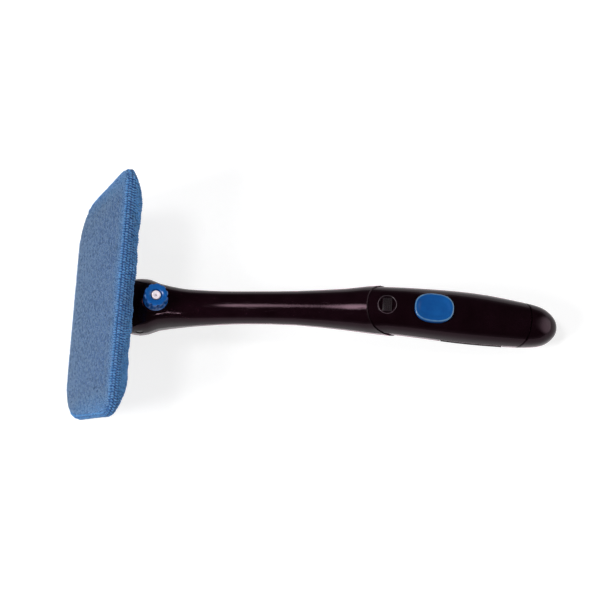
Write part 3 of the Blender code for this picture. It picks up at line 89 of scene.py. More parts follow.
bpy.ops.object.camera_add(location=CAMERA_PLACE)
camera = bpy.context.object
camera.name = "photo_camera"
camera.data.lens = CAMERA_LENS
sight = (CAMERA_TARGET - CAMERA_PLACE).to_track_quat("-Z", "Y").to_matrix()
camera.rotation_euler = (sight @ Matrix.Rotation(math.radians(CAMERA_ROLL), 3, "Z")).to_euler()
camera.data.clip_end = CAMERA_REACH
bpy.context.scene.camera = camera
deselect_all()
print("camera to target", round((CAMERA_TARGET - CAMERA_PLACE).length, 3))

# %% [markdown]
# ## Helpers for node materials
# Each finish starts from the same shader and from the point on the object that is shaded. These
# helpers only save typing: an input of a node is either joined to a socket or set to a value, and
# a value that is the same all over is set on the shader itself.

# %% Helpers for node materials


def fill_inputs(tree, node, values):
    """Joins each input to its socket or sets its value; a colour gets an alpha of 1."""
    for label, value in values.items():
        if isinstance(value, bpy.types.NodeSocket):
            tree.links.new(value, node.inputs[label])
        elif node.inputs[label].type == "RGBA":
            node.inputs[label].default_value = (*value, 1.0)
        else:
            node.inputs[label].default_value = value


def add_node(tree, kind, values=None, **settings):
    node = tree.nodes.new(kind)
    for setting, value in settings.items():
        setattr(node, setting, value)
    fill_inputs(tree, node, values or {})
    return node


def place_node(tree, stretch=(1.0, 1.0, 1.0), turn=(0.0, 0.0, 0.0)):
    """The point on the object, stretched and turned for a pattern."""
    point = add_node(tree, "ShaderNodeTexCoord").outputs["Object"]
    return add_node(tree, "ShaderNodeMapping",
                    {"Vector": point, "Scale": stretch, "Rotation": turn}).outputs["Vector"]


def new_finish(name):
    """A new material, its node tree, its main shader and the place on the object."""
    material = bpy.data.materials.new(name)
    material.use_nodes = True
    tree = material.node_tree
    return material, tree, tree.nodes["Principled BSDF"], place_node(tree)


def noise_node(tree, place, scale, detail=3.0, roughness=0.5):
    return add_node(tree, "ShaderNodeTexNoise", {
        "Vector": place, "Scale": scale, "Detail": detail, "Roughness": roughness}).outputs["Fac"]


def cell_node(tree, place, scale):
    """How far a place lies from the middle of its cell."""
    return add_node(tree, "ShaderNodeTexVoronoi", {"Vector": place, "Scale": scale},
                    feature="F1").outputs["Distance"]


def attribute_node(tree, label):
    return add_node(tree, "ShaderNodeAttribute", attribute_name=label).outputs["Fac"]


def ramp_node(tree, share, low, high, low_value=0.0, high_value=1.0, **settings):
    """A share moved from one span of values to another, held at the ends."""
    return add_node(tree, "ShaderNodeMapRange", {
        "Value": share, "From Min": low, "From Max": high,
        "To Min": low_value, "To Max": high_value}, **settings).outputs["Result"]


def math_node(tree, operation, *values, **settings):
    return add_node(tree, "ShaderNodeMath", dict(enumerate(values)), operation=operation,
                    **settings).outputs[0]


def mix_colours(tree, share, first, second):
    """Two colours mixed by a share; either may be a colour or a socket."""
    colour_a, colour_b, mixed = 6, 7, 2
    mix = add_node(tree, "ShaderNodeMix", {"Factor": share, colour_a: first, colour_b: second},
                   data_type="RGBA")
    return mix.outputs[mixed]


def bump_node(tree, height, strength, distance):
    return add_node(tree, "ShaderNodeBump", {
        "Height": height, "Strength": strength, "Distance": distance}).outputs["Normal"]


print("helpers ready")

# %% [markdown]
# ## Moulded plastic
# The handle, cap, button and nozzle are injection moulded. Such a skin is glossy but never quite
# even: the colour clouds slightly, the gloss is broken by hairline scuffs, and a faint orange peel
# bends its highlights. One function makes every moulded finish from two close colours. The black
# one is a very dark maroon that hardly mirrors what stands in front of it.

# %% Moulded plastic


def moulded_plastic(name, deep, pale, gloss, scuffed, peel=0.04):
    """Glossy moulded plastic: clouded colour, hairline scuffs, and a faint orange peel."""
    material, tree, shader, place = new_finish(name)
    clouds = ramp_node(tree, noise_node(tree, place, 38.0, 4.0, 0.6), 0.35, 0.68)
    along = noise_node(tree, place_node(tree, (12.0, 260.0, 260.0), (0.3, 0.2, 0.5)), 3.0, 2.0)
    hairlines = ramp_node(tree, along, 0.62, 0.72, 0.0, scuffed - gloss)
    smears = ramp_node(tree, noise_node(tree, place, 22.0), 0.4, 0.7, gloss, gloss * 1.7)
    fill_inputs(tree, shader, {
        "Base Color": mix_colours(tree, clouds, deep, pale),
        "Roughness": math_node(tree, "ADD", hairlines, smears),
        "Normal": bump_node(tree, noise_node(tree, place, 420.0, 2.0), peel, 0.0004)})
    return material


def black_plastic(name):
    material = moulded_plastic(name, (0.0042, 0.0009, 0.0020), (0.0078, 0.0022, 0.0042),
                               0.085, 0.22)
    tree = material.node_tree
    fill_inputs(tree, tree.nodes["Principled BSDF"], {
        "IOR": 1.28, "Specular Tint": (1.0, 0.62, 0.78),
        "Sheen Weight": 1.0, "Sheen Roughness": 0.17, "Sheen Tint": (1.0, 0.42, 0.60)})
    return material


def inner_plastic(name):
    return moulded_plastic(name, (0.012, 0.006, 0.009), (0.022, 0.012, 0.016), 0.32, 0.50, 0.10)


def highlit_rubbed_plastic(name):
    """Black plastic painted paler as a rim's highlight, and duller where thumbs rub it."""
    return moulded_plastic(name, (0.026, 0.016, 0.021), (0.085, 0.055, 0.070), 0.20, 0.40, 0.08)


def blue_plastic(name):
    return moulded_plastic(name, (0.0040, 0.070, 0.280), (0.0075, 0.104, 0.370), 0.16, 0.22, 0.03)


def white_plastic(name):
    return moulded_plastic(name, (0.82, 0.72, 0.79), (0.90, 0.84, 0.88), 0.34, 0.48, 0.05)


print("moulded plastics ready")

# %% [markdown]
# ## Clear plastic, rubber, steel and foam
# The pieces inside are seen through gaps and when the end cap is off. The tank and tubes are a
# milky clear plastic, the seals are matt rubber with a dusty bloom, the screws and springs are
# plated steel with fine turning lines, and the pad is an open foam full of small cells.

# %% Clear plastic, rubber, steel and foam


def clear_plastic(name):
    """Milky clear plastic: light comes through, and its clouding varies."""
    material, tree, shader, place = new_finish(name)
    clouds = ramp_node(tree, noise_node(tree, place, 55.0, 4.0), 0.35, 0.7)
    fill_inputs(tree, shader, {
        "Base Color": mix_colours(tree, clouds, (0.70, 0.76, 0.80), (0.84, 0.88, 0.90)),
        "Roughness": ramp_node(tree, noise_node(tree, place, 120.0), 0.3, 0.7, 0.16, 0.36),
        "Transmission Weight": 0.55, "IOR": 1.46,
        "Normal": bump_node(tree, noise_node(tree, place, 300.0, 2.0), 0.06, 0.0004)})
    return material


def dark_rubber(name):
    """Matt rubber with a pale bloom in patches and a fine pebbled skin."""
    material, tree, shader, place = new_finish(name)
    bloom = ramp_node(tree, noise_node(tree, place, 70.0, 5.0, 0.7), 0.45, 0.72)
    fill_inputs(tree, shader, {
        "Base Color": mix_colours(tree, bloom, (0.014, 0.012, 0.013), (0.052, 0.047, 0.050)),
        "Roughness": ramp_node(tree, bloom, 0.0, 1.0, 0.55, 0.86),
        "Normal": bump_node(tree, noise_node(tree, place, 1500.0), 0.25, 0.0003)})
    return material


def plated_steel(name):
    """Bright plated steel: fine turning lines, and dull spots where the plating has aged."""
    material, tree, shader, place = new_finish(name)
    spots = ramp_node(tree, noise_node(tree, place, 240.0, 4.0, 0.7), 0.55, 0.75)
    lines = noise_node(tree, place_node(tree, (900.0, 60.0, 900.0)), 4.0, 2.0)
    fill_inputs(tree, shader, {
        "Base Color": mix_colours(tree, spots, (0.63, 0.63, 0.66), (0.40, 0.37, 0.34)),
        "Roughness": ramp_node(tree, lines, 0.3, 0.7, 0.20, 0.38), "Metallic": 1.0,
        "Normal": bump_node(tree, lines, 0.08, 0.0002)})
    return material


def open_foam(name):
    """Cream foam: cells with mouths painted dark as shade, and a colour yellowed unevenly."""
    material, tree, shader, place = new_finish(name)
    cells = cell_node(tree, place, 900.0)
    aged = ramp_node(tree, noise_node(tree, place, 18.0, 4.0), 0.35, 0.7)
    cream = mix_colours(tree, aged, (0.74, 0.71, 0.60), (0.66, 0.58, 0.42))
    # Each cell's mouth is painted dark: painted shade in its hole.
    mouth_shade = ramp_node(tree, cells, 0.1, 0.6)
    fill_inputs(tree, shader, {
        "Base Color": mix_colours(tree, mouth_shade, (0.30, 0.26, 0.20), cream),
        "Roughness": 0.95, "Normal": bump_node(tree, cells, 0.6, 0.0006)})
    return material


print("inner finishes ready")

# %% [markdown]
# ## Finishes for the pieces that stay
# Most solids inside the tool stay as they are. Their faces come as loose triangles, so a small
# geometry node group joins the corners and marks only the sharp edges, which leaves the solids
# themselves unchanged. Each one then takes a finish of its own.

# %% Finishes for the pieces that stay
SMOOTH_ANGLE = math.radians(38.0)
WELD_DISTANCE = 0.00001
# What isn't named here is a screw or a spring, and is steel.
FINISHES = {
    black_plastic: "neck_upper_shell neck_lower_shell grip_upper_shell grip_lower_shell"
                   " end_cap latch_tab",
    inner_plastic: "neck_plug hinge_pin head_plate head_bracket",
    blue_plastic: "nozzle_cap pump_button",
    white_plastic: "nozzle_insert pump_piston pump_collar pump_cylinder tube_coupling",
    clear_plastic: "nozzle_body water_tank neck_tube grip_tube suction_tube dip_tube",
    dark_rubber: "friction_washer_left friction_washer_right nozzle_gasket grip_strip"
                 " tank_stopper outlet_valve inlet_valve hem_elastic",
    open_foam: "foam_pad microfibre_bonnet",
}


def corner_joiner():
    """A node group that merges corners and shades smooth up to an angle."""
    group = bpy.data.node_groups.new("join_corners", "GeometryNodeTree")
    for way in ("INPUT", "OUTPUT"):
        group.interface.new_socket("Geometry", in_out=way, socket_type="NodeSocketGeometry")
    start = add_node(group, "NodeGroupInput")
    merge = add_node(group, "GeometryNodeMergeByDistance",
                     {"Geometry": start.outputs[0], "Distance": WELD_DISTANCE})
    faces = add_node(group, "GeometryNodeSetShadeSmooth", {"Geometry": merge.outputs["Geometry"]},
                     domain="FACE")
    angle = add_node(group, "GeometryNodeInputMeshEdgeAngle").outputs["Unsigned Angle"]
    small = add_node(group, "FunctionNodeCompare", {"A": angle, "B": SMOOTH_ANGLE},
                     data_type="FLOAT", operation="LESS_THAN")
    edges = add_node(group, "GeometryNodeSetShadeSmooth", {
        "Geometry": faces.outputs["Geometry"], "Shade Smooth": small.outputs["Result"]},
                     domain="EDGE")
    add_node(group, "NodeGroupOutput", {0: edges.outputs["Geometry"]})
    return group


makers = {name: maker for maker, names in FINISHES.items() for name in names.split()}
joiner = corner_joiner()
for node_name, node in nodes.items():
    node.data.materials.clear()
    node.data.materials.append(makers.get(node_name, plated_steel)(f"{node_name}_finish"))
    node.modifiers.new("join_corners", "NODES").node_group = joiner
print(len(nodes), "solids finished,", len(nodes) - len(makers), "of them steel")

# %% [markdown]
# ## The floor
# The tool lies on a plain pale table. The floor is a wide sheet that is lit like everything else,
# so it keeps the tool's shadow. Towards the camera and in reflections it also gives off a little
# light, which makes it as white as the photograph's background.

# %% The floor
FLOOR_SIZE = 24.0
FLOOR_GLOW = 0.78

bpy.ops.mesh.primitive_plane_add(size=FLOOR_SIZE, location=(0.0, 0.0, 0.0))
floor = bpy.context.object
floor.name = "floor"
floor_finish, floor_tree, floor_shader, floor_place = new_finish("floor_finish")
speckle = noise_node(floor_tree, floor_place, 300.0)
rays = add_node(floor_tree, "ShaderNodeLightPath").outputs
seen = math_node(floor_tree, "MAXIMUM", rays["Is Camera Ray"], rays["Is Glossy Ray"])
seen = math_node(floor_tree, "MAXIMUM", seen, rays["Is Transmission Ray"])
fill_inputs(floor_tree, floor_shader, {
    "Base Color": mix_colours(floor_tree, speckle, (0.36, 0.36, 0.37), (0.40, 0.40, 0.40)),
    "Roughness": 0.9, "Emission Color": (1.0, 1.0, 1.0),
    "Emission Strength": ramp_node(floor_tree, seen, 0.0, 1.0, 0.0, FLOOR_GLOW)})
floor.data.materials.append(floor_finish)
deselect_all()
print("floor", FLOOR_SIZE, "m wide")

# %% [markdown]
# ## The light
# A plain studio under a dark ceiling. A soft lamp and a bright wall stand low at the ends of the
# tool, so the long glossy handle hardly mirrors them, and its top stays nearly black, as in the
# photograph. The lamp on the left faces the wiping face. The room itself holds two soft patches of
# light: the wall on the right, and a small one overhead that leaves the faint streak near the joint
# of neck and grip. Three narrow panes in front glint only on the neck's round end. The table's own
# brightness gives the handle its pale lower edge.

# %% The light
KEY_PLACE = (-1.62, -0.78, 1.30)
KEY_SIZE = 0.80
KEY_POWER = 40.0
PANES = ((-0.92, -0.87, 1.55), (0.25, -1.49, 1.31), (0.48, -1.32, 1.42))
PANE_SIZE = 0.12
PANE_POWER = 0.0040
PANE_SPREAD = 8.0
NECK_END = (-0.129, -0.013, 0.056)
# The room's strength at the horizon and high up, and the heights between which it falls.
WALL_GLOW = 0.36
CEILING_GLOW = 0.06
WALL_FOOT = 0.02
WALL_TOP = 0.34
# Each patch of light: its direction, its reach in degrees, and its strength.
PATCHES = (((0.97, 0.14, 0.20), 36.0, 3.3), ((-0.40, 0.10, 0.91), 11.0, 16.0))


def soft_lamp(name, place, size, power, aim=(0.0, 0.0, 0.0), spread=180.0):
    bpy.ops.object.light_add(type="AREA", location=place)
    lamp = bpy.context.object
    lamp.name = name
    lamp.data.shape = "DISK"
    lamp.data.size = size
    lamp.data.energy = power
    lamp.data.spread = math.radians(spread)
    lamp.rotation_euler = (Vector(aim) - Vector(place)).to_track_quat("-Z", "Y").to_euler()
    deselect_all()


soft_lamp("key_lamp", KEY_PLACE, KEY_SIZE, KEY_POWER)
for number, pane in enumerate(PANES):
    soft_lamp(f"pane_{number + 1}", pane, PANE_SIZE, PANE_POWER, NECK_END, PANE_SPREAD)

room = bpy.data.worlds.new("pale_room")
bpy.context.scene.world = room
room.use_nodes = True
room_tree = room.node_tree
facing = add_node(room_tree, "ShaderNodeTexCoord").outputs["Generated"]
rising = add_node(room_tree, "ShaderNodeSeparateXYZ", {"Vector": facing}).outputs["Z"]
glow = ramp_node(room_tree, rising, WALL_FOOT, WALL_TOP, WALL_GLOW, CEILING_GLOW)
for direction, reach, strength in PATCHES:
    nearness = add_node(room_tree, "ShaderNodeVectorMath", {
        0: facing, 1: Vector(direction).normalized()}, operation="DOT_PRODUCT").outputs["Value"]
    fade = ramp_node(room_tree, nearness, math.cos(math.radians(reach)), 1.0,
                     interpolation_type="SMOOTHSTEP")
    glow = math_node(room_tree, "MULTIPLY_ADD", fade, strength, glow)
fill_inputs(room_tree, room_tree.nodes["Background"], {"Color": (1.0, 1.0, 1.0), "Strength": glow})
bpy.context.scene.view_settings.view_transform = "Standard"
print("lamps ready")

# %% [markdown]
# ## Helpers for shaping
# Most small pieces are modelled in edit mode. A primitive is added at its size and place, with its
# Z axis along the direction that the piece works in, and is shaped there. Faces and points are
# chosen by their place in the piece's own axes, so a change of size keeps the choice right. At the
# end the place goes into the mesh, and the object itself stands at the origin. Skins that swell
# and bend are made from rings of points instead, joined one after another.

# %% Helpers for shaping
ROUND_ANGLE = math.radians(40.0)
SAME_PLACE = 0.00001
# Small roundings are given in tenths of a millimetre.
TENTH = 0.0001


def own_axes(axis):
    """The rotation that turns Z along an axis, with Y across the tool where that can be."""
    upward = Vector(axis).normalized()
    side = Vector((0.0, 1.0, 0.0)) if abs(upward.y) < 0.9 else Vector((1.0, 0.0, 0.0))
    return Matrix((side.cross(upward), side, upward)).transposed()


def eased(t):
    t = min(max(t, 0.0), 1.0)
    return t * t * (3 - 2 * t)


def flattened(value, power):
    """A sine or cosine for a superellipse, which is fuller than an oval."""
    return math.copysign(abs(value) ** (2 / power), value)


def rounded_rows(inset, height, radius, steps):
    """Rows of (inset, height) round a convex edge, from its wall to its top."""
    turns = [math.pi / 2 * i / steps for i in range(steps + 1)]
    return [(inset + radius * (1 - math.cos(t)), height - radius * (1 - math.sin(t)))
            for t in turns]


def begin_shaping(name):
    piece = bpy.context.object
    piece.name = name
    piece.data.name = name
    bpy.ops.object.mode_set(mode="EDIT")
    bpy.ops.mesh.select_all(action="DESELECT")
    return piece


def pick(piece, kind, test):
    """Selects only the faces, edges or points that pass a test, and counts them."""
    bpy.ops.mesh.select_mode(type=kind)
    bpy.ops.mesh.select_all(action="DESELECT")
    body = bmesh.from_edit_mesh(piece.data)
    chosen = [part for part in {"VERT": body.verts, "EDGE": body.edges, "FACE": body.faces}[kind]
              if test(part)]
    for part in chosen:
        part.select_set(True)
    bmesh.update_edit_mesh(piece.data)
    return len(chosen)


def pull_out(step):
    bpy.ops.mesh.extrude_region_move(TRANSFORM_OT_translate={"value": step})


def resize_round(size, middle):
    """Widens or narrows the chosen points across the piece's own Z axis."""
    bpy.ops.transform.resize(value=(size, size, 1.0), orient_type="LOCAL", center_override=middle)


def end_shaping():
    """Welds, turns the faces outwards, leaves edit mode and puts the place into the mesh."""
    bpy.ops.mesh.select_all(action="SELECT")
    bpy.ops.mesh.remove_doubles(threshold=SAME_PLACE)
    bpy.ops.mesh.normals_make_consistent(inside=False)
    bpy.ops.object.mode_set(mode="OBJECT")
    bpy.ops.object.transform_apply(location=True, rotation=True, scale=True)
    bpy.ops.object.shade_smooth_by_angle(angle=ROUND_ANGLE)
    deselect_all()


def turned_in_edit(name, seat, axis, rows, sides):
    """A circle that is extruded and resized from row to row of (radius, height)."""
    turn = own_axes(axis)
    radius, height = rows[0]
    bpy.ops.mesh.primitive_circle_add(vertices=sides, radius=radius, rotation=turn.to_euler(),
                                      location=seat + turn @ Vector((0.0, 0.0, height)))
    piece = begin_shaping(name)
    bpy.ops.mesh.select_all(action="SELECT")
    for (radius, height), (next_radius, next_height) in zip(rows, rows[1:]):
        pull_out(turn @ Vector((0.0, 0.0, next_height - height)))
        resize_round(next_radius / radius, seat + turn @ Vector((0.0, 0.0, next_height)))
    return piece


def new_piece(name, points, faces):
    mesh = bpy.data.meshes.new(name)
    mesh.from_pydata(points, [], faces)
    mesh.shade_smooth()
    piece = bpy.data.objects.new(name, mesh)
    bpy.context.scene.collection.objects.link(piece)
    return piece


def ring_skin(name, rings, closed=False, sharp_angle=ROUND_ANGLE):
    """A skin through rings of equal count, faces outwards, its ends filled if it isn't closed."""
    rows, count = len(rings), len(rings[0])
    faces = []
    for row in range(rows if closed else rows - 1):
        near, far = row * count, (row + 1) % rows * count
        for i in range(count):
            j = (i + 1) % count
            faces.append((near + i, near + j, far + j, far + i))
    if not closed:
        faces += [tuple(range(count)), tuple(range((rows - 1) * count, rows * count))]
    piece = new_piece(name, [tuple(point) for ring in rings for point in ring], faces)
    body = bmesh.new()
    body.from_mesh(piece.data)
    bmesh.ops.recalc_face_normals(body, faces=body.faces)
    body.to_mesh(piece.data)
    body.free()
    piece.data.set_sharp_from_angle(angle=sharp_angle)
    return piece


def round_section(middle, across, upward, radius, sides):
    """A round ring of points about a middle, in the plane of two directions."""
    turns = [math.tau * k / sides for k in range(sides)]
    return [middle + (across * math.cos(turn) + upward * math.sin(turn)) * radius
            for turn in turns]


def keep_values(piece, label, values):
    """One value for each point, kept in an attribute that the finish reads."""
    piece.data.attributes.new(label, "FLOAT", "POINT").data.foreach_set("value", values)


print("shaping helpers ready")

# %% [markdown]
# ## The nozzle cap
# The spray nozzle is opened and aimed with a fluted ring, so the thumb needs a grip on it. Ten
# narrow scoops start above a plain round base, run up the wall and notch the rim of its face. The
# ring is one turned profile with a bore for the threaded body. The scoops are made afterwards, by
# drawing in the points that lie near each of the ten angles.

# %% The nozzle cap
NOZZLE_SEAT = Vector((-0.129026, 0.0, 0.058603))
NOZZLE_AXIS = Vector((0.198684, 0.0, 0.980064))
CAP_LOW = 0.0009
CAP_HIGH = 0.0139
CAP_RADIUS = 0.0106
CAP_FACE_RADIUS = 0.0101
BASE_TOP = CAP_LOW + 0.0026
SCOOP_LOW = BASE_TOP + 0.0012
FLANGE_BORE = 0.0087
SPIGOT_BORE = 0.0057
INSERT_BORE = 0.0041
INSERT_SHELF = CAP_HIGH - 0.0030
GROOVE_RADIUS = 0.0048
GROOVE_LOW = CAP_HIGH - 0.0022
SCOOPS = 10
SCOOP_SIDES = 12
SCOOP_DEPTH = 0.0017
SCOOP_TURN = -4.0
# How deep the scoop is at its middle and at the points beside it, as shares.
SCOOP_SHARES = (1.0, 0.74, 0.32, 0.07)

cap_rows = (
    (FLANGE_BORE, CAP_LOW), (CAP_RADIUS - 4 * TENTH, CAP_LOW), (CAP_RADIUS, CAP_LOW + 4 * TENTH),
    (CAP_RADIUS, BASE_TOP - 4 * TENTH), (CAP_RADIUS - 3 * TENTH, BASE_TOP),
    (CAP_FACE_RADIUS + TENTH, SCOOP_LOW), (CAP_FACE_RADIUS + TENTH, SCOOP_LOW + 14 * TENTH),
    (CAP_FACE_RADIUS, INSERT_SHELF), (CAP_FACE_RADIUS, CAP_HIGH - 11 * TENTH),
    (CAP_FACE_RADIUS - 2 * TENTH, CAP_HIGH - 5 * TENTH),
    (CAP_FACE_RADIUS - 6 * TENTH, CAP_HIGH - TENTH), (CAP_FACE_RADIUS - 11 * TENTH, CAP_HIGH),
    (GROOVE_RADIUS + 5 * TENTH, CAP_HIGH - TENTH), (GROOVE_RADIUS, CAP_HIGH - 5 * TENTH),
    (GROOVE_RADIUS, GROOVE_LOW), (INSERT_BORE, GROOVE_LOW), (INSERT_BORE, INSERT_SHELF),
    (SPIGOT_BORE, INSERT_SHELF), (SPIGOT_BORE, BASE_TOP), (FLANGE_BORE, BASE_TOP),
    (FLANGE_BORE, CAP_LOW),
)
fluted_cap = turned_in_edit("fluted_cap", NOZZLE_SEAT, NOZZLE_AXIS, cap_rows, SCOOPS * SCOOP_SIDES)
cap_origin = NOZZLE_SEAT + own_axes(NOZZLE_AXIS) @ Vector((0.0, 0.0, CAP_LOW))


def scoop_index(point):
    """How many points away from the middle of the nearest scoop a point lies."""
    turn = math.degrees(math.atan2(point.y, point.x)) - SCOOP_TURN
    index = round(turn / (360.0 / (SCOOPS * SCOOP_SIDES))) % SCOOP_SIDES
    return min(index, SCOOP_SIDES - index)


for index, share in enumerate(SCOOP_SHARES):
    wall_points = pick(fluted_cap, "VERT", lambda v: scoop_index(v.co) == index
                       and v.co.z > SCOOP_LOW - CAP_LOW - SAME_PLACE
                       and v.co.xy.length > CAP_FACE_RADIUS - 8 * TENTH)
    resize_round(1 - SCOOP_DEPTH * share / CAP_FACE_RADIUS, cap_origin)
    print("scoop row", index, "points", wall_points)
end_shaping()
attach(fluted_cap, "nozzle")
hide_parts("nozzle_cap")
print("nozzle cap faces", len(fluted_cap.data.polygons))

# %% [markdown]
# ## The nozzle's insert
# A pale insert is pressed into the ring and carries the orifice. Its face is slightly dished, so
# that drops run back to the hole, and the hole itself is countersunk.

# %% The nozzle's insert
INSERT_RADIUS = 0.0038
INSERT_TOP = CAP_HIGH - 0.0007
INSERT_FOOT = INSERT_SHELF + 0.0001
INSERT_SIDES = 48
ORIFICE_RADIUS = 0.0006

insert_rows = (
    (ORIFICE_RADIUS, INSERT_FOOT), (INSERT_RADIUS, INSERT_FOOT),
    (INSERT_RADIUS, INSERT_TOP - 4 * TENTH), (INSERT_RADIUS - 2 * TENTH, INSERT_TOP - TENTH),
    (INSERT_RADIUS - 5 * TENTH, INSERT_TOP), (INSERT_RADIUS * 0.62, INSERT_TOP - 2 * TENTH),
    (INSERT_RADIUS * 0.40, INSERT_TOP - 3 * TENTH), (ORIFICE_RADIUS * 1.7, INSERT_TOP - 4 * TENTH),
    (ORIFICE_RADIUS, INSERT_TOP - 9 * TENTH), (ORIFICE_RADIUS, INSERT_FOOT),
)
dished_insert = turned_in_edit("dished_insert", NOZZLE_SEAT, NOZZLE_AXIS, insert_rows,
                               INSERT_SIDES)
end_shaping()
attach(dished_insert, "nozzle")
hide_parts("nozzle_insert")
print("insert faces", len(dished_insert.data.polygons))

# %% [markdown]
# ## The hinge pin
# The head tilts on a plain pin across the neck's fork. Its ends are blackened and rounded, and they
# come up just to the skin, so that nothing catches on them.

# %% The hinge pin
HINGE_PLACE = Vector((-0.143595, 0.0, 0.039658))
PIN_RADIUS = 0.0030
PIN_REACH = 0.0230
PIN_ROUND = 0.0009
PIN_SIDES = 40

half_pin = [(PIN_RADIUS - inset, height)
            for inset, height in rounded_rows(0.0, PIN_REACH, PIN_ROUND, 5)]
half_pin.append((PIN_RADIUS * 0.25, PIN_REACH + PIN_ROUND * 0.1))
pin_rows = [(radius, -height) for radius, height in reversed(half_pin)] + half_pin
round_pin = turned_in_edit("round_pin", HINGE_PLACE, (0.0, 1.0, 0.0), pin_rows, PIN_SIDES)
for end in (-1, 1):
    pick(round_pin, "EDGE", lambda e: len(e.link_faces) == 1
         and (e.verts[0].co.z > PIN_REACH) == (end > 0))
    bpy.ops.mesh.edge_face_add()
end_shaping()
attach(round_pin, "handle")
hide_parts("hinge_pin")
print("pin faces", len(round_pin.data.polygons))

# %% [markdown]
# ## The latch tab
# The tab that locks the neck in the grip lies in a round dish. It is a small block with a raised
# rim round its top, three ribs for the thumbnail, and feet on both ends that keep it in its
# window. The block is cut across at the feet's height, and the end faces there are drawn out. Five
# bands are cut into the floor of its top, and every other band is drawn up into a rib.

# %% The latch tab
LATCH_SEAT = Vector((0.068392, 0.0, 0.064525))
LATCH_AXIS = Vector((0.060435, 0.0, 0.998172))
TAB_LENGTH = 0.0074
TAB_WIDTH = 0.0116
TAB_TOP = -0.0004
TAB_DEPTH = 0.0075
TAB_FOOT = 0.0012
TAB_FOOT_HEIGHT = 0.0014
TAB_EDGE = 0.0005
TAB_RIM = 0.0009
TAB_WELL = 0.0008
RIB_BANDS = 5
RIB_PITCH = 0.8 * (TAB_LENGTH - 2 * TAB_RIM) / RIB_BANDS
RIB_HEIGHT = TAB_WELL * 0.7

latch_turn = own_axes(LATCH_AXIS)
latch_up = latch_turn.col[2]
tab_height = TAB_TOP + TAB_DEPTH
tab_middle = (TAB_TOP - TAB_DEPTH) / 2
solid_tab = nodes["latch_tab"]
tab_points = [latch_turn.transposed() @ (solid_tab.matrix_world @ v.co - LATCH_SEAT)
              for v in solid_tab.data.vertices]
foot_top = max(p.z for p in tab_points if abs(p.x) > TAB_LENGTH / 2 + SAME_PLACE)
foot_low = foot_top - TAB_FOOT_HEIGHT


def latch_step(along, up):
    return latch_turn @ Vector((along, 0.0, up))


def cut_tab(step, normal):
    bpy.ops.mesh.select_all(action="SELECT")
    bpy.ops.mesh.bisect(plane_co=LATCH_SEAT + step, plane_no=normal)


def on_level(face, level):
    """Whether a face looks up and lies at a height over the block's middle."""
    return face.normal.z > 0.99 and abs(face.calc_center_median().z - level) < SAME_PLACE


bpy.ops.mesh.primitive_cube_add(
    size=1.0, location=LATCH_SEAT + latch_step(0.0, tab_middle),
    rotation=latch_turn.to_euler(), scale=(TAB_LENGTH, TAB_WIDTH, tab_height))
bpy.ops.object.transform_apply(location=False, rotation=False, scale=True)
ribbed_tab = begin_shaping("ribbed_tab")
for level in (foot_top, foot_low):
    if level > -TAB_DEPTH + SAME_PLACE:
        cut_tab(latch_step(0.0, level), latch_up)
for side in (-1, 1):
    pick(ribbed_tab, "FACE", lambda f: f.normal.x * side > 0.9
         and foot_low < f.calc_center_median().z + tab_middle < foot_top)
    pull_out(latch_step(side * TAB_FOOT, 0.0))
pick(ribbed_tab, "FACE", lambda f: on_level(f, tab_height / 2))
bpy.ops.mesh.bevel(offset=TAB_EDGE, segments=3, affect="EDGES")
pick(ribbed_tab, "FACE", lambda f: on_level(f, tab_height / 2))
bpy.ops.mesh.inset(thickness=TAB_RIM - TAB_EDGE)
pull_out(latch_step(0.0, -TAB_WELL))
for cut in range(RIB_BANDS + 1):
    cut_tab(latch_step((cut - RIB_BANDS / 2) * RIB_PITCH, 0.0), latch_step(1.0, 0.0))
ribs = pick(ribbed_tab, "FACE", lambda f: on_level(f, tab_height / 2 - TAB_WELL)
            and abs(f.calc_center_median().y) < TAB_WIDTH / 2 - TAB_RIM
            and round(f.calc_center_median().x / RIB_PITCH) in (-2, 0, 2))
bpy.ops.mesh.inset(thickness=TENTH, use_individual=True)
pull_out(latch_step(0.0, RIB_HEIGHT))
end_shaping()
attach(ribbed_tab, "latch")
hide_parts("latch_tab")
print("latch tab faces", len(ribbed_tab.data.polygons), "ribs", ribs)

# %% [markdown]
# ## The dish's rim
# The tab's dish is scooped out of the round handle, so its edge rises and falls with the skin. The
# edge of such a scoop is always a little rounded, and that roundness is what catches the light. A
# thin bead follows the skin round the dish: each of its places is found by a ray from above.

# %% The dish's rim
DISH_EDGE = 0.00775
BEAD_RADIUS = 0.00042
BEAD_SUNK = BEAD_RADIUS * 0.55
BEAD_STEPS = 72
BEAD_SIDES = 8
RAY_START = 0.02

solid_grip = nodes["grip_upper_shell"]
grip_tree = BVHTree.FromPolygons([solid_grip.matrix_world @ v.co for v in solid_grip.data.vertices],
                                 [tuple(p.vertices) for p in solid_grip.data.polygons])


def bead_place(step):
    turn = math.tau * step / BEAD_STEPS
    above = Vector((DISH_EDGE * math.cos(turn), DISH_EDGE * math.sin(turn), RAY_START))
    place, _, _, _ = grip_tree.ray_cast(LATCH_SEAT + latch_turn @ above, -latch_up)
    return place - latch_up * BEAD_SUNK


bead_path = [bead_place(step) for step in range(BEAD_STEPS)]
bead_rings = []
for i, place in enumerate(bead_path):
    ahead = (bead_path[(i + 1) % BEAD_STEPS] - bead_path[i - 1]).normalized()
    beside = ahead.cross(latch_up).normalized()
    bead_rings.append(round_section(place, beside, beside.cross(ahead), BEAD_RADIUS, BEAD_SIDES))
dish_rim = ring_skin("dish_rim", bead_rings, closed=True, sharp_angle=math.pi)
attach(dish_rim, "handle")
print("dish rim", len(bead_path), "places")
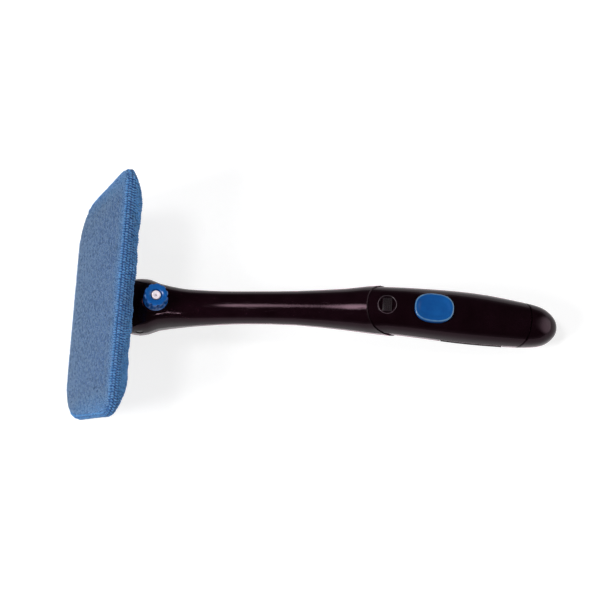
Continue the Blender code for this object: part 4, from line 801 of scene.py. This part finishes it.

# %% [markdown]
# ## The thumb button
# The button is a superellipse with a raised rim round a shallow thumb dish, and a thin skirt below
# that slides in its hole. Rings drawn in from one outline are joined in turn, because a plain
# extrude can't keep a superellipse's gap even. An attribute marks the rim, whose blue is painted
# paler: partly a painted highlight on its edge, and partly thumb wear.

# %% The thumb button
BUTTON_SEAT = Vector((0.107588, 0.0, 0.058313))
BUTTON_AXIS = Vector((0.20604, 0.0, 0.978544))
BUTTON_LENGTH = 0.033
BUTTON_WIDTH = 0.0245
BUTTON_RISE = 0.0012
BUTTON_SKIRT = 0.0058
BUTTON_TOP = 0.0024
BUTTON_WALL = 0.0018
BUTTON_RIM = 0.00135
BUTTON_DISH = 0.0009
BUTTON_EDGE = 0.0008
BUTTON_POWER = 2.5
BUTTON_POINTS = 120
EDGE_STEPS = 5
DISH_STEPS = 8
# How far the dish runs in, as a share of the width, and how soon it reaches its floor.
DISH_RUN = 0.30
DISH_FALL = 1.6

button_turn = own_axes(BUTTON_AXIS)


def button_ring(inset, height):
    ring = []
    for i in range(BUTTON_POINTS):
        turn = math.tau * i / BUTTON_POINTS
        along = (BUTTON_LENGTH / 2 - inset) * flattened(math.cos(turn), BUTTON_POWER)
        across = (BUTTON_WIDTH / 2 - inset) * flattened(math.sin(turn), BUTTON_POWER)
        ring.append(BUTTON_SEAT + button_turn @ Vector((along, across, height)))
    return ring


# From the skirt's inside over its foot, up the wall, over the rim and down into the dish.
button_rows = [(BUTTON_WALL, BUTTON_RISE - BUTTON_TOP), (BUTTON_WALL, -BUTTON_SKIRT),
               (0.0, -BUTTON_SKIRT)]
button_rows += rounded_rows(0.0, BUTTON_RISE, BUTTON_EDGE, EDGE_STEPS)
rim_end = len(button_rows)
rim_start = rim_end - 4
button_rows.append((BUTTON_RIM, BUTTON_RISE))
for i in range(1, DISH_STEPS + 1):
    t = i / DISH_STEPS
    button_rows.append((BUTTON_RIM + BUTTON_WIDTH * DISH_RUN * t,
                        BUTTON_RISE - BUTTON_DISH * eased(t * DISH_FALL)))
dished_button = ring_skin("dished_button", [button_ring(*row) for row in button_rows])
# The rim's rows are painted paler blue: a highlight on its edge, and thumb wear.
highlit_worn_rows = [float(rim_start <= i < rim_end) for i in range(len(button_rows))]
keep_values(dished_button, "rim_highlight_and_wear", np.repeat(highlit_worn_rows, BUTTON_POINTS))
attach(dished_button, "button")
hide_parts("pump_button")
print("button faces", len(dished_button.data.polygons))

# %% [markdown]
# ## The pump spring
# Under the button a steel compression spring stands round the piston's stem. On the real tool it is
# wound from wire on a mandrel. A piece here can't shorten as the button goes in, so the spring is
# wound at the length that it has when pressed, and stays hidden under the button in every pose.

# %% The pump spring
SPRING_FOOT = -0.01037
SPRING_PRESSED = 0.0039
SPRING_RADIUS = 0.0046
WIRE_RADIUS = 0.00045
SPRING_TURNS = 3
TURN_STEPS = 32
WIRE_SIDES = 10
WINDING_STEPS = SPRING_TURNS * TURN_STEPS


def wire_ring(step):
    """The wire's round section at a step along its winding."""
    turn = math.tau * step / TURN_STEPS
    outward = Vector((math.cos(turn), math.sin(turn), 0.0))
    upward = Vector((0.0, 0.0, 1.0))
    rise = (SPRING_PRESSED - 2 * WIRE_RADIUS) * step / WINDING_STEPS
    middle = outward * SPRING_RADIUS + upward * (SPRING_FOOT + WIRE_RADIUS + rise)
    return [BUTTON_SEAT + button_turn @ point
            for point in round_section(middle, outward, upward, WIRE_RADIUS, WIRE_SIDES)]


wound_spring = ring_skin("wound_spring", [wire_ring(step) for step in range(WINDING_STEPS + 1)])
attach(wound_spring, "handle")
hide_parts("pump_spring")
print("spring faces", len(wound_spring.data.polygons))

# %% [markdown]
# ## The end cap
# The tail is a hollow cap that pushes into the grip with a short spigot. Its skin carries on the
# grip's own curve, so the curve's few sections are read again here and joined smoothly, and the
# last of them are drawn in to a round end. The section is a superellipse, flatter than an oval.

# %% The end cap
HANDLE_LENGTH = 0.350
GRIP_WIDTH = 0.0436
GRIP_DEPTH = 0.0392
ARCH_RISE = 0.0196
SECTION_POWER = 2.3
SECTION_POINTS = 96
CAP_SEAM = HANDLE_LENGTH - 0.0288
CAP_SEAM_LEAN = 0.020
LEAN_RUN = 0.040
SEAM_GAP = 0.0009
SHELL_WALL = 0.0024
FIT_GAP = 0.0003
SPIGOT_LENGTH = 0.0045
SPIGOT_REACH = 0.006
SPIGOT_WALL = 0.0016
ROUND_SHARE = 0.986
TIP_REACH = 0.0078
KNEE_SHARE = 0.55
CAP_STATIONS = 24
TIP_STEPS = 12
CAP_EDGE = 0.0007
REST_PITCH = math.radians(3.460)
# Share of the handle's length; its middle's height, half width and half depth as shares.
TAIL_SHARES = (
    (0.695, 0.80, 0.960, 0.969), (0.765, 0.57, 0.990, 0.995), (0.835, 0.31, 0.974, 0.971),
    (0.910, -0.04, 0.893, 0.888), (0.960, -0.21, 0.783, 0.782), (0.986, -0.29, 0.600, 0.612),
    (1.000, -0.33, 0.300, 0.320),
)

handle_place = Matrix.Translation(HINGE_PLACE) @ Matrix.Rotation(REST_PITCH, 4, "Y")


def tail_share(x, column):
    """The smooth value of one column at a place along the handle."""
    stations = [row[0] for row in TAIL_SHARES]
    values = [row[column] for row in TAIL_SHARES]
    last = len(stations) - 1
    slopes = []
    for i in range(last + 1):
        before, after = max(i - 1, 0), min(i + 1, last)
        slopes.append((values[after] - values[before]) / (stations[after] - stations[before]))
    at = min(x / HANDLE_LENGTH, 1.0)
    span = max(i for i in range(last) if stations[i] <= at)
    run = stations[span + 1] - stations[span]
    t = (at - stations[span]) / run
    return ((2 * t**3 - 3 * t**2 + 1) * values[span] + (t**3 - 2 * t**2 + t) * run * slopes[span]
            + (3 * t**2 - 2 * t**3) * values[span + 1] + (t**3 - t**2) * run * slopes[span + 1])


def tail_point(x, lean, turn, inset=0.0):
    place = x + lean * flattened(math.sin(turn), SECTION_POWER)
    across = tail_share(place, 2) * GRIP_WIDTH / 2 - inset
    tall = tail_share(place, 3) * GRIP_DEPTH / 2 - inset
    height = tail_share(place, 1) * ARCH_RISE
    return Vector((place, across * flattened(math.cos(turn), SECTION_POWER),
                   height + tall * flattened(math.sin(turn), SECTION_POWER)))


def tail_ring(x, lean, inset=0.0):
    return [tail_point(x, lean, math.tau * i / SECTION_POINTS, inset)
            for i in range(SECTION_POINTS)]


def drawn_in(ring, share, shift):
    """A ring drawn in towards its own middle and shifted."""
    middle = sum(ring, Vector()) / len(ring)
    return [middle + (point - middle) * share + shift for point in ring]


def lean_here(x):
    return CAP_SEAM_LEAN / 2 * max(1 - abs(x - CAP_SEAM) / LEAN_RUN, 0.0)


tail_slope = (tail_share(CAP_SEAM, 1) - tail_share(CAP_SEAM - LEAN_RUN, 1)) * ARCH_RISE
tail_step = Vector((LEAN_RUN, 0.0, tail_slope)).normalized()
spigot_inset = SHELL_WALL + 2 * FIT_GAP
wall_share = 1 - 2 * SHELL_WALL / GRIP_DEPTH
seam_lean = lean_here(CAP_SEAM)
core = tail_ring(CAP_SEAM, seam_lean, spigot_inset + SPIGOT_WALL)
spigot = tail_ring(CAP_SEAM, seam_lean, spigot_inset)
cap_start = CAP_SEAM + SEAM_GAP
round_start = HANDLE_LENGTH * ROUND_SHARE

# The hollow inside, the spigot, the collar in the seam, and then the rounded edge of the skin.
tail_rings = [drawn_in(core, wall_share, tail_step * SPIGOT_REACH),
              drawn_in(core, 1.0, -tail_step * SPIGOT_LENGTH),
              drawn_in(spigot, 1.0, -tail_step * SPIGOT_LENGTH),
              drawn_in(spigot, 1.0, tail_step * SEAM_GAP * 0.2),
              tail_ring(CAP_SEAM + SEAM_GAP * 0.2, seam_lean, CAP_EDGE * 1.8)]
for inset, back in ((CAP_EDGE, 0.0), (CAP_EDGE * 0.3, CAP_EDGE * 0.3), (0.0, CAP_EDGE)):
    tail_rings.append(tail_ring(cap_start + back, lean_here(cap_start), inset))
for i in range(1, CAP_STATIONS + 1):
    x = cap_start + CAP_EDGE + (round_start - cap_start - CAP_EDGE) * i / CAP_STATIONS
    tail_rings.append(tail_ring(x, lean_here(x) * (1 - i / CAP_STATIONS)))

# From there the end rounds over: a curve that starts with the skin's slope and ends upright.
last_ring = tail_rings[-1]
start_radius = tail_share(round_start, 2) * GRIP_WIDTH / 2
end_radius = tail_share(HANDLE_LENGTH, 2) * GRIP_WIDTH / 2
slope = (start_radius - end_radius) / (HANDLE_LENGTH - round_start)
knee_radius = start_radius - KNEE_SHARE * slope * TIP_REACH
tip_drop = (tail_share(HANDLE_LENGTH, 1) - tail_share(round_start, 1)) * ARCH_RISE
for i in range(1, TIP_STEPS):
    t = i / TIP_STEPS
    radius = (1 - t) ** 2 * start_radius + 2 * t * (1 - t) * knee_radius
    shift = Vector((TIP_REACH * (2 * t - t * t), 0.0, tip_drop * t))
    tail_rings.append(drawn_in(last_ring, radius / start_radius, shift))
tail_rings = [[handle_place @ point for point in ring] for ring in tail_rings]
round_tail = ring_skin("round_tail", tail_rings)
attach(round_tail, "tail")
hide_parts("end_cap")
print("end cap faces", len(round_tail.data.polygons))

# %% [markdown]
# ## Finishes of the new pieces
# Each takes the finish that its material asks for. The pin and the tab lie low, in the duller inner
# plastic. The dish's rim is black plastic painted paler as the highlight on its rounded edge, and
# duller as if rubbed by thumbs. The button's finish also reads its marked rim: there the blue is
# painted paler, as a highlight on the edge and as thumb wear.

# %% Finishes of the new pieces
# The paler blue of the button's rim: painted highlight, and wear.
HIGHLIT_WORN_BLUE = (0.120, 0.270, 0.440)

# The dish's rim takes a paler black: a painted highlight on its rounded edge, with rubbed dullness.
for piece, maker in ((fluted_cap, blue_plastic), (dished_insert, white_plastic),
                     (round_pin, inner_plastic), (ribbed_tab, inner_plastic),
                     (round_tail, black_plastic), (wound_spring, plated_steel),
                     (dish_rim, highlit_rubbed_plastic), (dished_button, blue_plastic)):
    piece.data.materials.append(maker(f"{piece.name}_finish"))
tree = dished_button.data.materials[0].node_tree
shader = tree.nodes["Principled BSDF"]
# The rim's paler blue is painted highlight and wear, uneven round the rim.
uneven = ramp_node(tree, noise_node(tree, place_node(tree), 160.0), 0.30, 0.62, 0.35, 1.0)
highlight_and_wear = math_node(tree, "MULTIPLY", attribute_node(tree, "rim_highlight_and_wear"), uneven)
fresh_blue = shader.inputs["Base Color"].links[0].from_socket
fill_inputs(tree, shader, {"Base Color": mix_colours(tree, highlight_and_wear, fresh_blue, HIGHLIT_WORN_BLUE)})
print("new pieces finished")

# %% [markdown]
# ## The head's shape
# The head is a trapezoid pad: short at its leading edge, long at its ridge, and narrower towards
# its back, where the cloth is drawn in. Its place comes from the wiping face, which the packed
# record names: the face's middle, and the direction that it looks in. Rings of points at several
# depths behind the face then give the cloth, its lining and the foam alike.

# %% The head's shape
HEAD_DEPTH = 0.0173
HEAD_WIDTH = 0.100
LEADING_LENGTH = 0.187
RIDGE_LENGTH = 0.224
LEADING_CORNER = 0.034
RIDGE_CORNER = 0.011
END_DRAW = 0.032
BACK_DRAW = 0.003
CLOTH_EDGE = 0.006
CLOTH_CROWN = 0.0022
CLOTH_THICKNESS = 0.0026
PILE_HEIGHT = 0.0011
OUTLINE_POINTS = 288
CORNER_STEPS = 16

face_mount = frame["record"]["mounts"][0]
into_head = -Vector(face_mount["axis"]).normalized()
across_head = Vector((0.0, 1.0, 0.0))
up_head = into_head.cross(across_head).normalized()
head_turn = Matrix((across_head, up_head, into_head)).transposed()
face_middle = Vector(face_mount["pos_m"]) + into_head * CLOTH_CROWN
head_place = Matrix.Translation(face_middle) @ head_turn.to_4x4()


def corner_arc(centre, radius, start, end):
    turns = [start + (end - start) * i / CORNER_STEPS for i in range(CORNER_STEPS + 1)]
    return [Vector((centre.x + radius * math.cos(t), centre.y + radius * math.sin(t)))
            for t in turns]


def evenly(points, count):
    """A closed run of points made evenly spaced along its length."""
    closed = points + points[:1]
    lengths = [0.0]
    for first, second in zip(closed, closed[1:]):
        lengths.append(lengths[-1] + (second - first).length)
    at = np.arange(count) * lengths[-1] / count
    xs = np.interp(at, lengths, [p.x for p in closed])
    ys = np.interp(at, lengths, [p.y for p in closed])
    return [Vector((x, y)) for x, y in zip(xs, ys)]


def head_outline():
    """The trapezoid seen on its face, with round corners."""
    flare = math.atan2((RIDGE_LENGTH - LEADING_LENGTH) / 2, HEAD_WIDTH)
    low, high, quarter = -HEAD_WIDTH / 2, HEAD_WIDTH / 2, math.pi / 2
    low_in = LEADING_CORNER * math.tan((quarter - flare) / 2)
    high_in = RIDGE_CORNER * math.tan((quarter + flare) / 2)
    low_centre = Vector((LEADING_LENGTH / 2 - low_in, low + LEADING_CORNER))
    high_centre = Vector((RIDGE_LENGTH / 2 - high_in, high - RIDGE_CORNER))
    right = corner_arc(low_centre, LEADING_CORNER, -quarter, -flare)
    right += corner_arc(high_centre, RIDGE_CORNER, -flare, quarter)
    left = [Vector((-p.x, p.y)) for p in reversed(right)]
    return evenly([Vector((0.0, low)), *right, Vector((0.0, high)), *left], OUTLINE_POINTS)


outline = head_outline()
print("head outline", len(outline), "points; face middle", [round(v, 4) for v in face_middle])

# %% [markdown]
# ## Gathers
# An elastic in the hem draws the cloth in behind the head, so the side of the bonnet is not
# straight: it puffs out between shallow folds, and the folds deepen towards the hem. Three slow
# waves of different lengths round the outline, added together, never repeat, as real gathers do.

# %% Gathers
GATHER_WAVES = ((9, 0.4, 0.46), (17, 2.1, 0.32), (29, 4.4, 0.22))
GATHER_PUFF = 0.0023
# The folds also rise and fall a little, some points behind their puffs.
LIFT_SHARE = 0.35
LIFT_LAG = 9


def gather_share(index):
    """How far the cloth puffs out at a place round the outline, from -1 to 1."""
    turn = math.tau * index / OUTLINE_POINTS
    return sum(share * math.sin(count * turn + phase) for count, phase, share in GATHER_WAVES)


def head_ring(inset, depth, cover=0.0, gathers=0.0):
    """The outline drawn in by an inset at a depth behind the face, puffed out by its gathers."""
    back = min(max(depth + cover - CLOTH_EDGE, 0.0) / (HEAD_DEPTH - CLOTH_EDGE), 1.0)
    ring = []
    for i, point in enumerate(outline):
        puff = GATHER_PUFF * gathers * gather_share(i)
        across = 1 - (inset - puff + END_DRAW * back**2) / (RIDGE_LENGTH / 2)
        upward = 1 - (inset - puff + BACK_DRAW * back**2) / (HEAD_WIDTH / 2)
        lift = gathers * GATHER_PUFF * LIFT_SHARE * gather_share(i + LIFT_LAG)
        ring.append(head_place @ Vector((point.x * across, point.y * upward, depth + lift)))
    return ring


def smooth_profile(rows, between):
    """More rows of a profile, on a smooth curve through the ones given."""
    table = np.array(rows, float)
    padded_table = np.vstack([2 * table[0] - table[1], table, 2 * table[-1] - table[-2]])
    finer = []
    for before, start, end, after in zip(padded_table, padded_table[1:], padded_table[2:],
                                         padded_table[3:]):
        for step in range(between):
            t = step / between
            finer.append(0.5 * (2 * start + (end - before) * t
                                + (2 * before - 5 * start + 4 * end - after) * t**2
                                + (3 * start - before - 3 * end + after) * t**3))
    finer.append(table[-1])
    return finer


print("deepest gather", round(min(gather_share(i) for i in range(OUTLINE_POINTS)), 2))

# %% [markdown]
# ## The bonnet's cloth
# The bonnet is a padded cover, so it is built as one closed skin: a crowned wiping face, a rounded
# edge, the side with its gathers, the hem that turns in behind the plate, and back along the
# lining. A profile of a few rows is smoothed and swept round the outline, so that the face's rings
# are many and its loops can stand on it.

# %% The bonnet's cloth
HEM_TURN = 0.0130
half_width = HEAD_WIDTH / 2
hem_back = HEAD_DEPTH - PILE_HEIGHT
PLATE_BACK = HEAD_DEPTH - CLOTH_THICKNESS
skin = PILE_HEIGHT
wall = CLOTH_THICKNESS

# One row a ring: inset, depth behind the face, cover over it, and share of the gathers.
BONNET_PROFILE = (
    (half_width * 0.96 + skin, skin - CLOTH_CROWN, 0.0, 0.0),
    (half_width * 0.80 + skin, skin - CLOTH_CROWN, 0.0, 0.0),
    (half_width * 0.50 + skin, skin - CLOTH_CROWN * 0.8, 0.0, 0.0),
    (half_width * 0.24 + skin, skin - CLOTH_CROWN * 0.35, 0.0, 0.0),
    (CLOTH_EDGE * 0.9 + skin, skin - CLOTH_CROWN * 0.02, 0.0, 0.0),
    (CLOTH_EDGE * 0.5 + skin, skin + CLOTH_EDGE * 0.08, 0.0, 0.0),
    (CLOTH_EDGE * 0.16 + skin, skin + CLOTH_EDGE * 0.32, 0.0, 0.0),
    (skin, CLOTH_EDGE, 0.0, 0.0),
    (skin, hem_back * 0.50, 0.0, 0.25),
    (skin, hem_back * 0.70, 0.0, 0.75),
    (skin, hem_back * 0.86, 0.0, 1.0),
    (skin + CLOTH_EDGE * 0.16, hem_back * 0.97, 0.0, 1.0),
    (skin + CLOTH_EDGE * 0.6, hem_back, 0.0, 0.9),
    (HEM_TURN * 0.85, hem_back, 0.0, 0.7),
    (HEM_TURN, hem_back - wall * 0.3, wall * 0.3, 0.6),
    (HEM_TURN * 0.97, PLATE_BACK, wall, 0.5),
    (HEM_TURN * 0.6, PLATE_BACK, wall, 0.4),
    (wall * 1.5, PLATE_BACK, wall, 0.2),
    (wall, PLATE_BACK - wall / 2, wall, 0.0),
    (wall, CLOTH_EDGE, wall, 0.0),
    (CLOTH_EDGE * 0.8, wall, wall, 0.0),
    (half_width * 0.4, wall - CLOTH_CROWN * 0.4, wall, 0.0),
    (half_width * 0.9, wall - CLOTH_CROWN * 0.8, wall, 0.0),
)
ROWS_BETWEEN = 3


# The cloth's rings, from the middle of the face round the hem to the lining's middle.
cloth_rings = [head_ring(*row) for row in smooth_profile(BONNET_PROFILE, ROWS_BETWEEN)]
bonnet = ring_skin("bonnet_cloth", cloth_rings)
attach(bonnet, "head")
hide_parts("microfibre_bonnet")
print("bonnet faces", len(bonnet.data.polygons))

# %% [markdown]
# ## The terry loops
# Microfibre terry is a field of small yarn loops that stand in chains. One loop is modelled once,
# as a short bent tube of a few dozen faces. It is then set on the cloth again and again: on the
# face in rows along the head, flat and worn, and round the side in chains that follow the ridge,
# tall, full and set across their chain, so that each one shows. Near the ridge the worn loops grow
# into full ones. Each loop is turned, leaned and sized by a seeded random number. It keeps a shade
# of its own, how full it is, and how near its tip each point lies, in attributes that the cloth's
# finish reads.

# %% The terry loops
YARN_RADIUS = 0.00052
LOOP_SPAN = 0.00088
LOOP_STEPS = 5
YARN_SIDES = 5
LOOP_PITCH = 0.0020
CHAIN_PITCH = 0.0021
FULL_PITCH = 0.0023
ROW_PITCH = 0.0028
SPOT_JITTER = 0.00018
# The loops change over this share of the face's reach, up to this fullness at its edge.
RIDGE_SHARE = 0.34
RIDGE_FULL = 0.85
FLAT_SIDE = 0.86
# The profile rows between which the side's loops stand.
EDGE_ROW = 5
HEM_ROW = 16
# Each of these goes from its first value, for a worn loop, to its second, for a full one.
LOOP_LEAN = (0.22, 0.14)
LOOP_TWIST = (0.0, 1.30)
TWIST_SPREAD = (0.30, 0.16)
LOOP_SIZE = (0.94, 1.08)
LOOP_BREADTH = (1.0, 1.3)
LOOP_TALLNESS = (0.70, 1.04)
SIZE_SPREAD = 0.10
LOOP_SUNK = YARN_RADIUS * 0.9
SHADE_POWER = 0.6
dice = random.Random(11)


def one_loop():
    """The points and faces of a yarn arch over X that stands on Z = 0."""
    rings = []
    for i in range(LOOP_STEPS + 1):
        turn = math.pi * i / LOOP_STEPS
        outward = Vector((-math.cos(turn), 0.0, math.sin(turn)))
        middle = Vector((LOOP_SPAN * outward.x, 0.0, PILE_HEIGHT * outward.z))
        rings.append(round_section(middle, outward, across_head, YARN_RADIUS, YARN_SIDES))
    arch = ring_skin("yarn_arch", rings).data
    points = np.array([v.co for v in arch.vertices])
    faces = [tuple(p.vertices) for p in arch.polygons]
    bpy.data.meshes.remove(arch)
    return points, faces


cloth_tree = BVHTree.FromPolygons([v.co for v in bonnet.data.vertices],
                                  [tuple(p.vertices) for p in bonnet.data.polygons])


def face_spots():
    """Rows of spots over the wiping face, each with its chain's direction and how full it is."""
    spots = []
    count = int(RIDGE_LENGTH / LOOP_PITCH)
    rows = int(HEAD_WIDTH / CHAIN_PITCH)
    for row in range(rows + 1):
        y = HEAD_WIDTH * (row / rows - 0.5)
        for i in range(count + 1):
            x = RIDGE_LENGTH * (i / count - 0.5) + dice.uniform(-1, 1) * SPOT_JITTER
            start = Vector((x, y + dice.uniform(-1, 1) * SPOT_JITTER, -RAY_START))
            place, normal, _, _ = cloth_tree.ray_cast(head_place @ start, into_head)
            if place is None or normal.dot(-into_head) < FLAT_SIDE:
                continue
            nearness = max(y / half_width, abs(x) / (RIDGE_LENGTH / 2))
            full = RIDGE_FULL * eased((nearness - 1 + RIDGE_SHARE) / RIDGE_SHARE)
            spots.append((place, normal, across_head, full))
    return spots


def side_spots():
    """Rows of spots down the side and round the hem. A row keeps its distance over the cloth from
    the row before, so that no gap opens where the side slopes and is broad."""
    spots = []
    rings = cloth_rings[EDGE_ROW * ROWS_BETWEEN:HEM_ROW * ROWS_BETWEEN + 1]
    length = sum((a - b).length for a, b in zip(outline, outline[1:] + outline[:1]))
    around = int(length / FULL_PITCH)
    for i in range(around):
        at = i * OUTLINE_POINTS / around
        low = int(at)
        high = (low + 1) % OUTLINE_POINTS
        strand = [ring[low].lerp(ring[high], at - low) for ring in rings]
        chain = (rings[0][high] - rings[0][low]).normalized()
        walked = [0.0]
        for before, after in zip(strand, strand[1:]):
            walked.append(walked[-1] + (after - before).length)
        for row in range(round(walked[-1] / ROW_PITCH)):
            wanted = (row + 0.5 + dice.uniform(-0.04, 0.04)) * ROW_PITCH
            spot = Vector([np.interp(wanted, walked, [p[axis] for p in strand])
                           for axis in range(3)])
            spot += chain * FULL_PITCH * (row % 2 / 2 + dice.uniform(-0.12, 0.12))
            place, normal, _, _ = cloth_tree.find_nearest(spot)
            if normal.dot(-into_head) < FLAT_SIDE:
                spots.append((place, normal, chain, 1.0))
    return spots


def grown(ends, full):
    return ends[0] + (ends[1] - ends[0]) * full


def loop_axes(normal, chain, full):
    """A loop's three axes, leaned, turned and sized by the dice."""
    lean = grown(LOOP_LEAN, full)
    twist = dice.gauss(grown(LOOP_TWIST, full), grown(TWIST_SPREAD, full))
    along = (chain - normal * chain.dot(normal)).normalized()
    beside = normal.cross(along)
    stand = normal + along * dice.gauss(0.0, lean) + beside * dice.gauss(0.0, lean)
    stand.normalize()
    second = stand.cross(along * math.cos(twist) + beside * math.sin(twist)).normalized()
    size = dice.uniform(1 - SIZE_SPREAD, 1 + SIZE_SPREAD) * grown(LOOP_SIZE, full)
    return np.array([second.cross(stand) * size, second * size * grown(LOOP_BREADTH, full),
                     stand * size * grown(LOOP_TALLNESS, full)])


def pile_piece(name, spots):
    """One mesh of loops set on their spots, each with its own turn, size and shade."""
    template, template_faces = one_loop()
    count = len(template)
    tips = np.clip(template[:, 2] / (PILE_HEIGHT + YARN_RADIUS), 0.0, 1.0)
    points = []
    shades = []
    faces = []
    for i, (place, normal, chain, full) in enumerate(spots):
        points.append(template @ loop_axes(normal, chain, full) + place - normal * LOOP_SUNK)
        shades.append(dice.random() ** SHADE_POWER)
        faces += [tuple(v + i * count for v in face) for face in template_faces]
    piece = new_piece(name, np.concatenate(points).tolist(), faces)
    keep_values(piece, "yarn_shade", np.repeat(shades, count))
    keep_values(piece, "full_pile", np.repeat([spot[3] for spot in spots], count))
    keep_values(piece, "yarn_tip", np.tile(tips, len(spots)))
    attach(piece, "head")
    return piece


face_pile = pile_piece("terry_loops_face", face_spots())
side_pile = pile_piece("terry_loops_side", side_spots())
for pile in (face_pile, side_pile):
    print(pile.name, "faces", len(pile.data.polygons))

# %% [markdown]
# ## The bonnet's finish
# The yarn is a saturated mid blue, paler at each loop's tip and darker at its root, where the dark
# is painted shade deep in the pile. Where it has been wiped flat it is paler and greyer: partly the
# wear of the flattened pile, and partly painted sheen for the light on the face, besides the
# shader's own sheen. The ground between the loops is a darker blue, which is painted shade under
# the loops. Fine noise gives the fibres, and slow noise the patches that have been used more.

# %% The bonnet's finish


def terry_yarn(name):
    material, tree, shader, place = new_finish(name)
    shade = attribute_node(tree, "yarn_shade")
    # Loops on the flat face: paler and greyer, partly wear of the flattened pile, partly painted
    # sheen.
    worn_and_sheen = mix_colours(tree, shade, (0.056, 0.102, 0.184), (0.182, 0.290, 0.434))
    tip_yarn = mix_colours(tree, shade, (0.054, 0.228, 0.560), (0.108, 0.338, 0.690))
    # Darker towards each loop's root: painted shade deep in the pile.
    root_shade = ramp_node(tree, attribute_node(tree, "yarn_tip"), 0.10, 0.85)
    fresh = mix_colours(tree, root_shade, (0.022, 0.095, 0.300), tip_yarn)
    patches = ramp_node(tree, noise_node(tree, place, 26.0, 5.0, 0.65), 0.38, 0.66, 0.0, 0.22)
    fresh_share = math_node(tree, "SUBTRACT", attribute_node(tree, "full_pile"), patches, use_clamp=True)
    fibres = noise_node(tree, place, 2600.0, 2.0)
    scaled = add_node(tree, "ShaderNodeVectorMath", {
        0: mix_colours(tree, fresh_share, worn_and_sheen, fresh),
        "Scale": ramp_node(tree, fibres, 0.3, 0.7, 0.72, 1.18)}, operation="SCALE")
    fill_inputs(tree, shader, {
        "Base Color": scaled.outputs[0], "Roughness": 0.92, "Sheen Weight": 0.45,
        "Sheen Roughness": 0.42, "Sheen Tint": (0.72, 0.84, 1.0),
        "Normal": bump_node(tree, fibres, 0.55, 0.0003)})
    return material


def ground_cloth(name):
    material, tree, shader, place = new_finish(name)
    weave = cell_node(tree, place, 950.0)
    knots = ramp_node(tree, weave, 0.1, 0.7)
    fill_inputs(tree, shader, {
        # The ground is a darker blue than the yarn: painted shade under the loops.
        "Base Color": mix_colours(tree, knots, (0.034, 0.130, 0.350), (0.014, 0.060, 0.200)),
        "Roughness": 0.95, "Sheen Weight": 0.2, "Normal": bump_node(tree, weave, 0.5, 0.0005)})
    return material


bonnet.data.materials.append(ground_cloth("bonnet_ground"))
yarn_finish = terry_yarn("terry_yarn")
for pile in (face_pile, side_pile):
    pile.data.materials.append(yarn_finish)
print("bonnet finished")

# %% [markdown]
# ## The foam pad
# Behind the cloth lies a pad of open foam, which gives the wiping face its crown. It fills the
# room between cloth and plate, with soft edges, and is hidden while the bonnet is on.

# %% The foam pad
FOAM_SKIN = 0.0035
FOAM_EDGE = 0.003
PLATE_THICKNESS = 0.0032
FOAM_GAP = 0.0009
FOAM_BACK = PLATE_BACK - PLATE_THICKNESS - FOAM_GAP

foam_rows = (
    (half_width * 0.95, FOAM_SKIN - CLOTH_CROWN * 0.85),
    (half_width * 0.70, FOAM_SKIN - CLOTH_CROWN * 0.8),
    (half_width * 0.40, FOAM_SKIN - CLOTH_CROWN * 0.45), (CLOTH_EDGE, FOAM_SKIN),
    (FOAM_SKIN + FOAM_EDGE / 2, FOAM_SKIN + FOAM_EDGE / 2),
    (FOAM_SKIN, FOAM_SKIN + FOAM_EDGE), (FOAM_SKIN, FOAM_BACK - FOAM_EDGE / 3),
    (FOAM_SKIN + FOAM_EDGE / 5, FOAM_BACK), (half_width * 0.6, FOAM_BACK),
)
foam_rings = [head_ring(inset, depth, FOAM_SKIN)
              for inset, depth in smooth_profile(foam_rows, ROWS_BETWEEN)]
foam_pad = ring_skin("pad_of_foam", foam_rings)
foam_pad.data.materials.append(open_foam("pad_foam"))
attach(foam_pad, "head")
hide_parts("foam_pad")
print("foam faces", len(foam_pad.data.polygons))
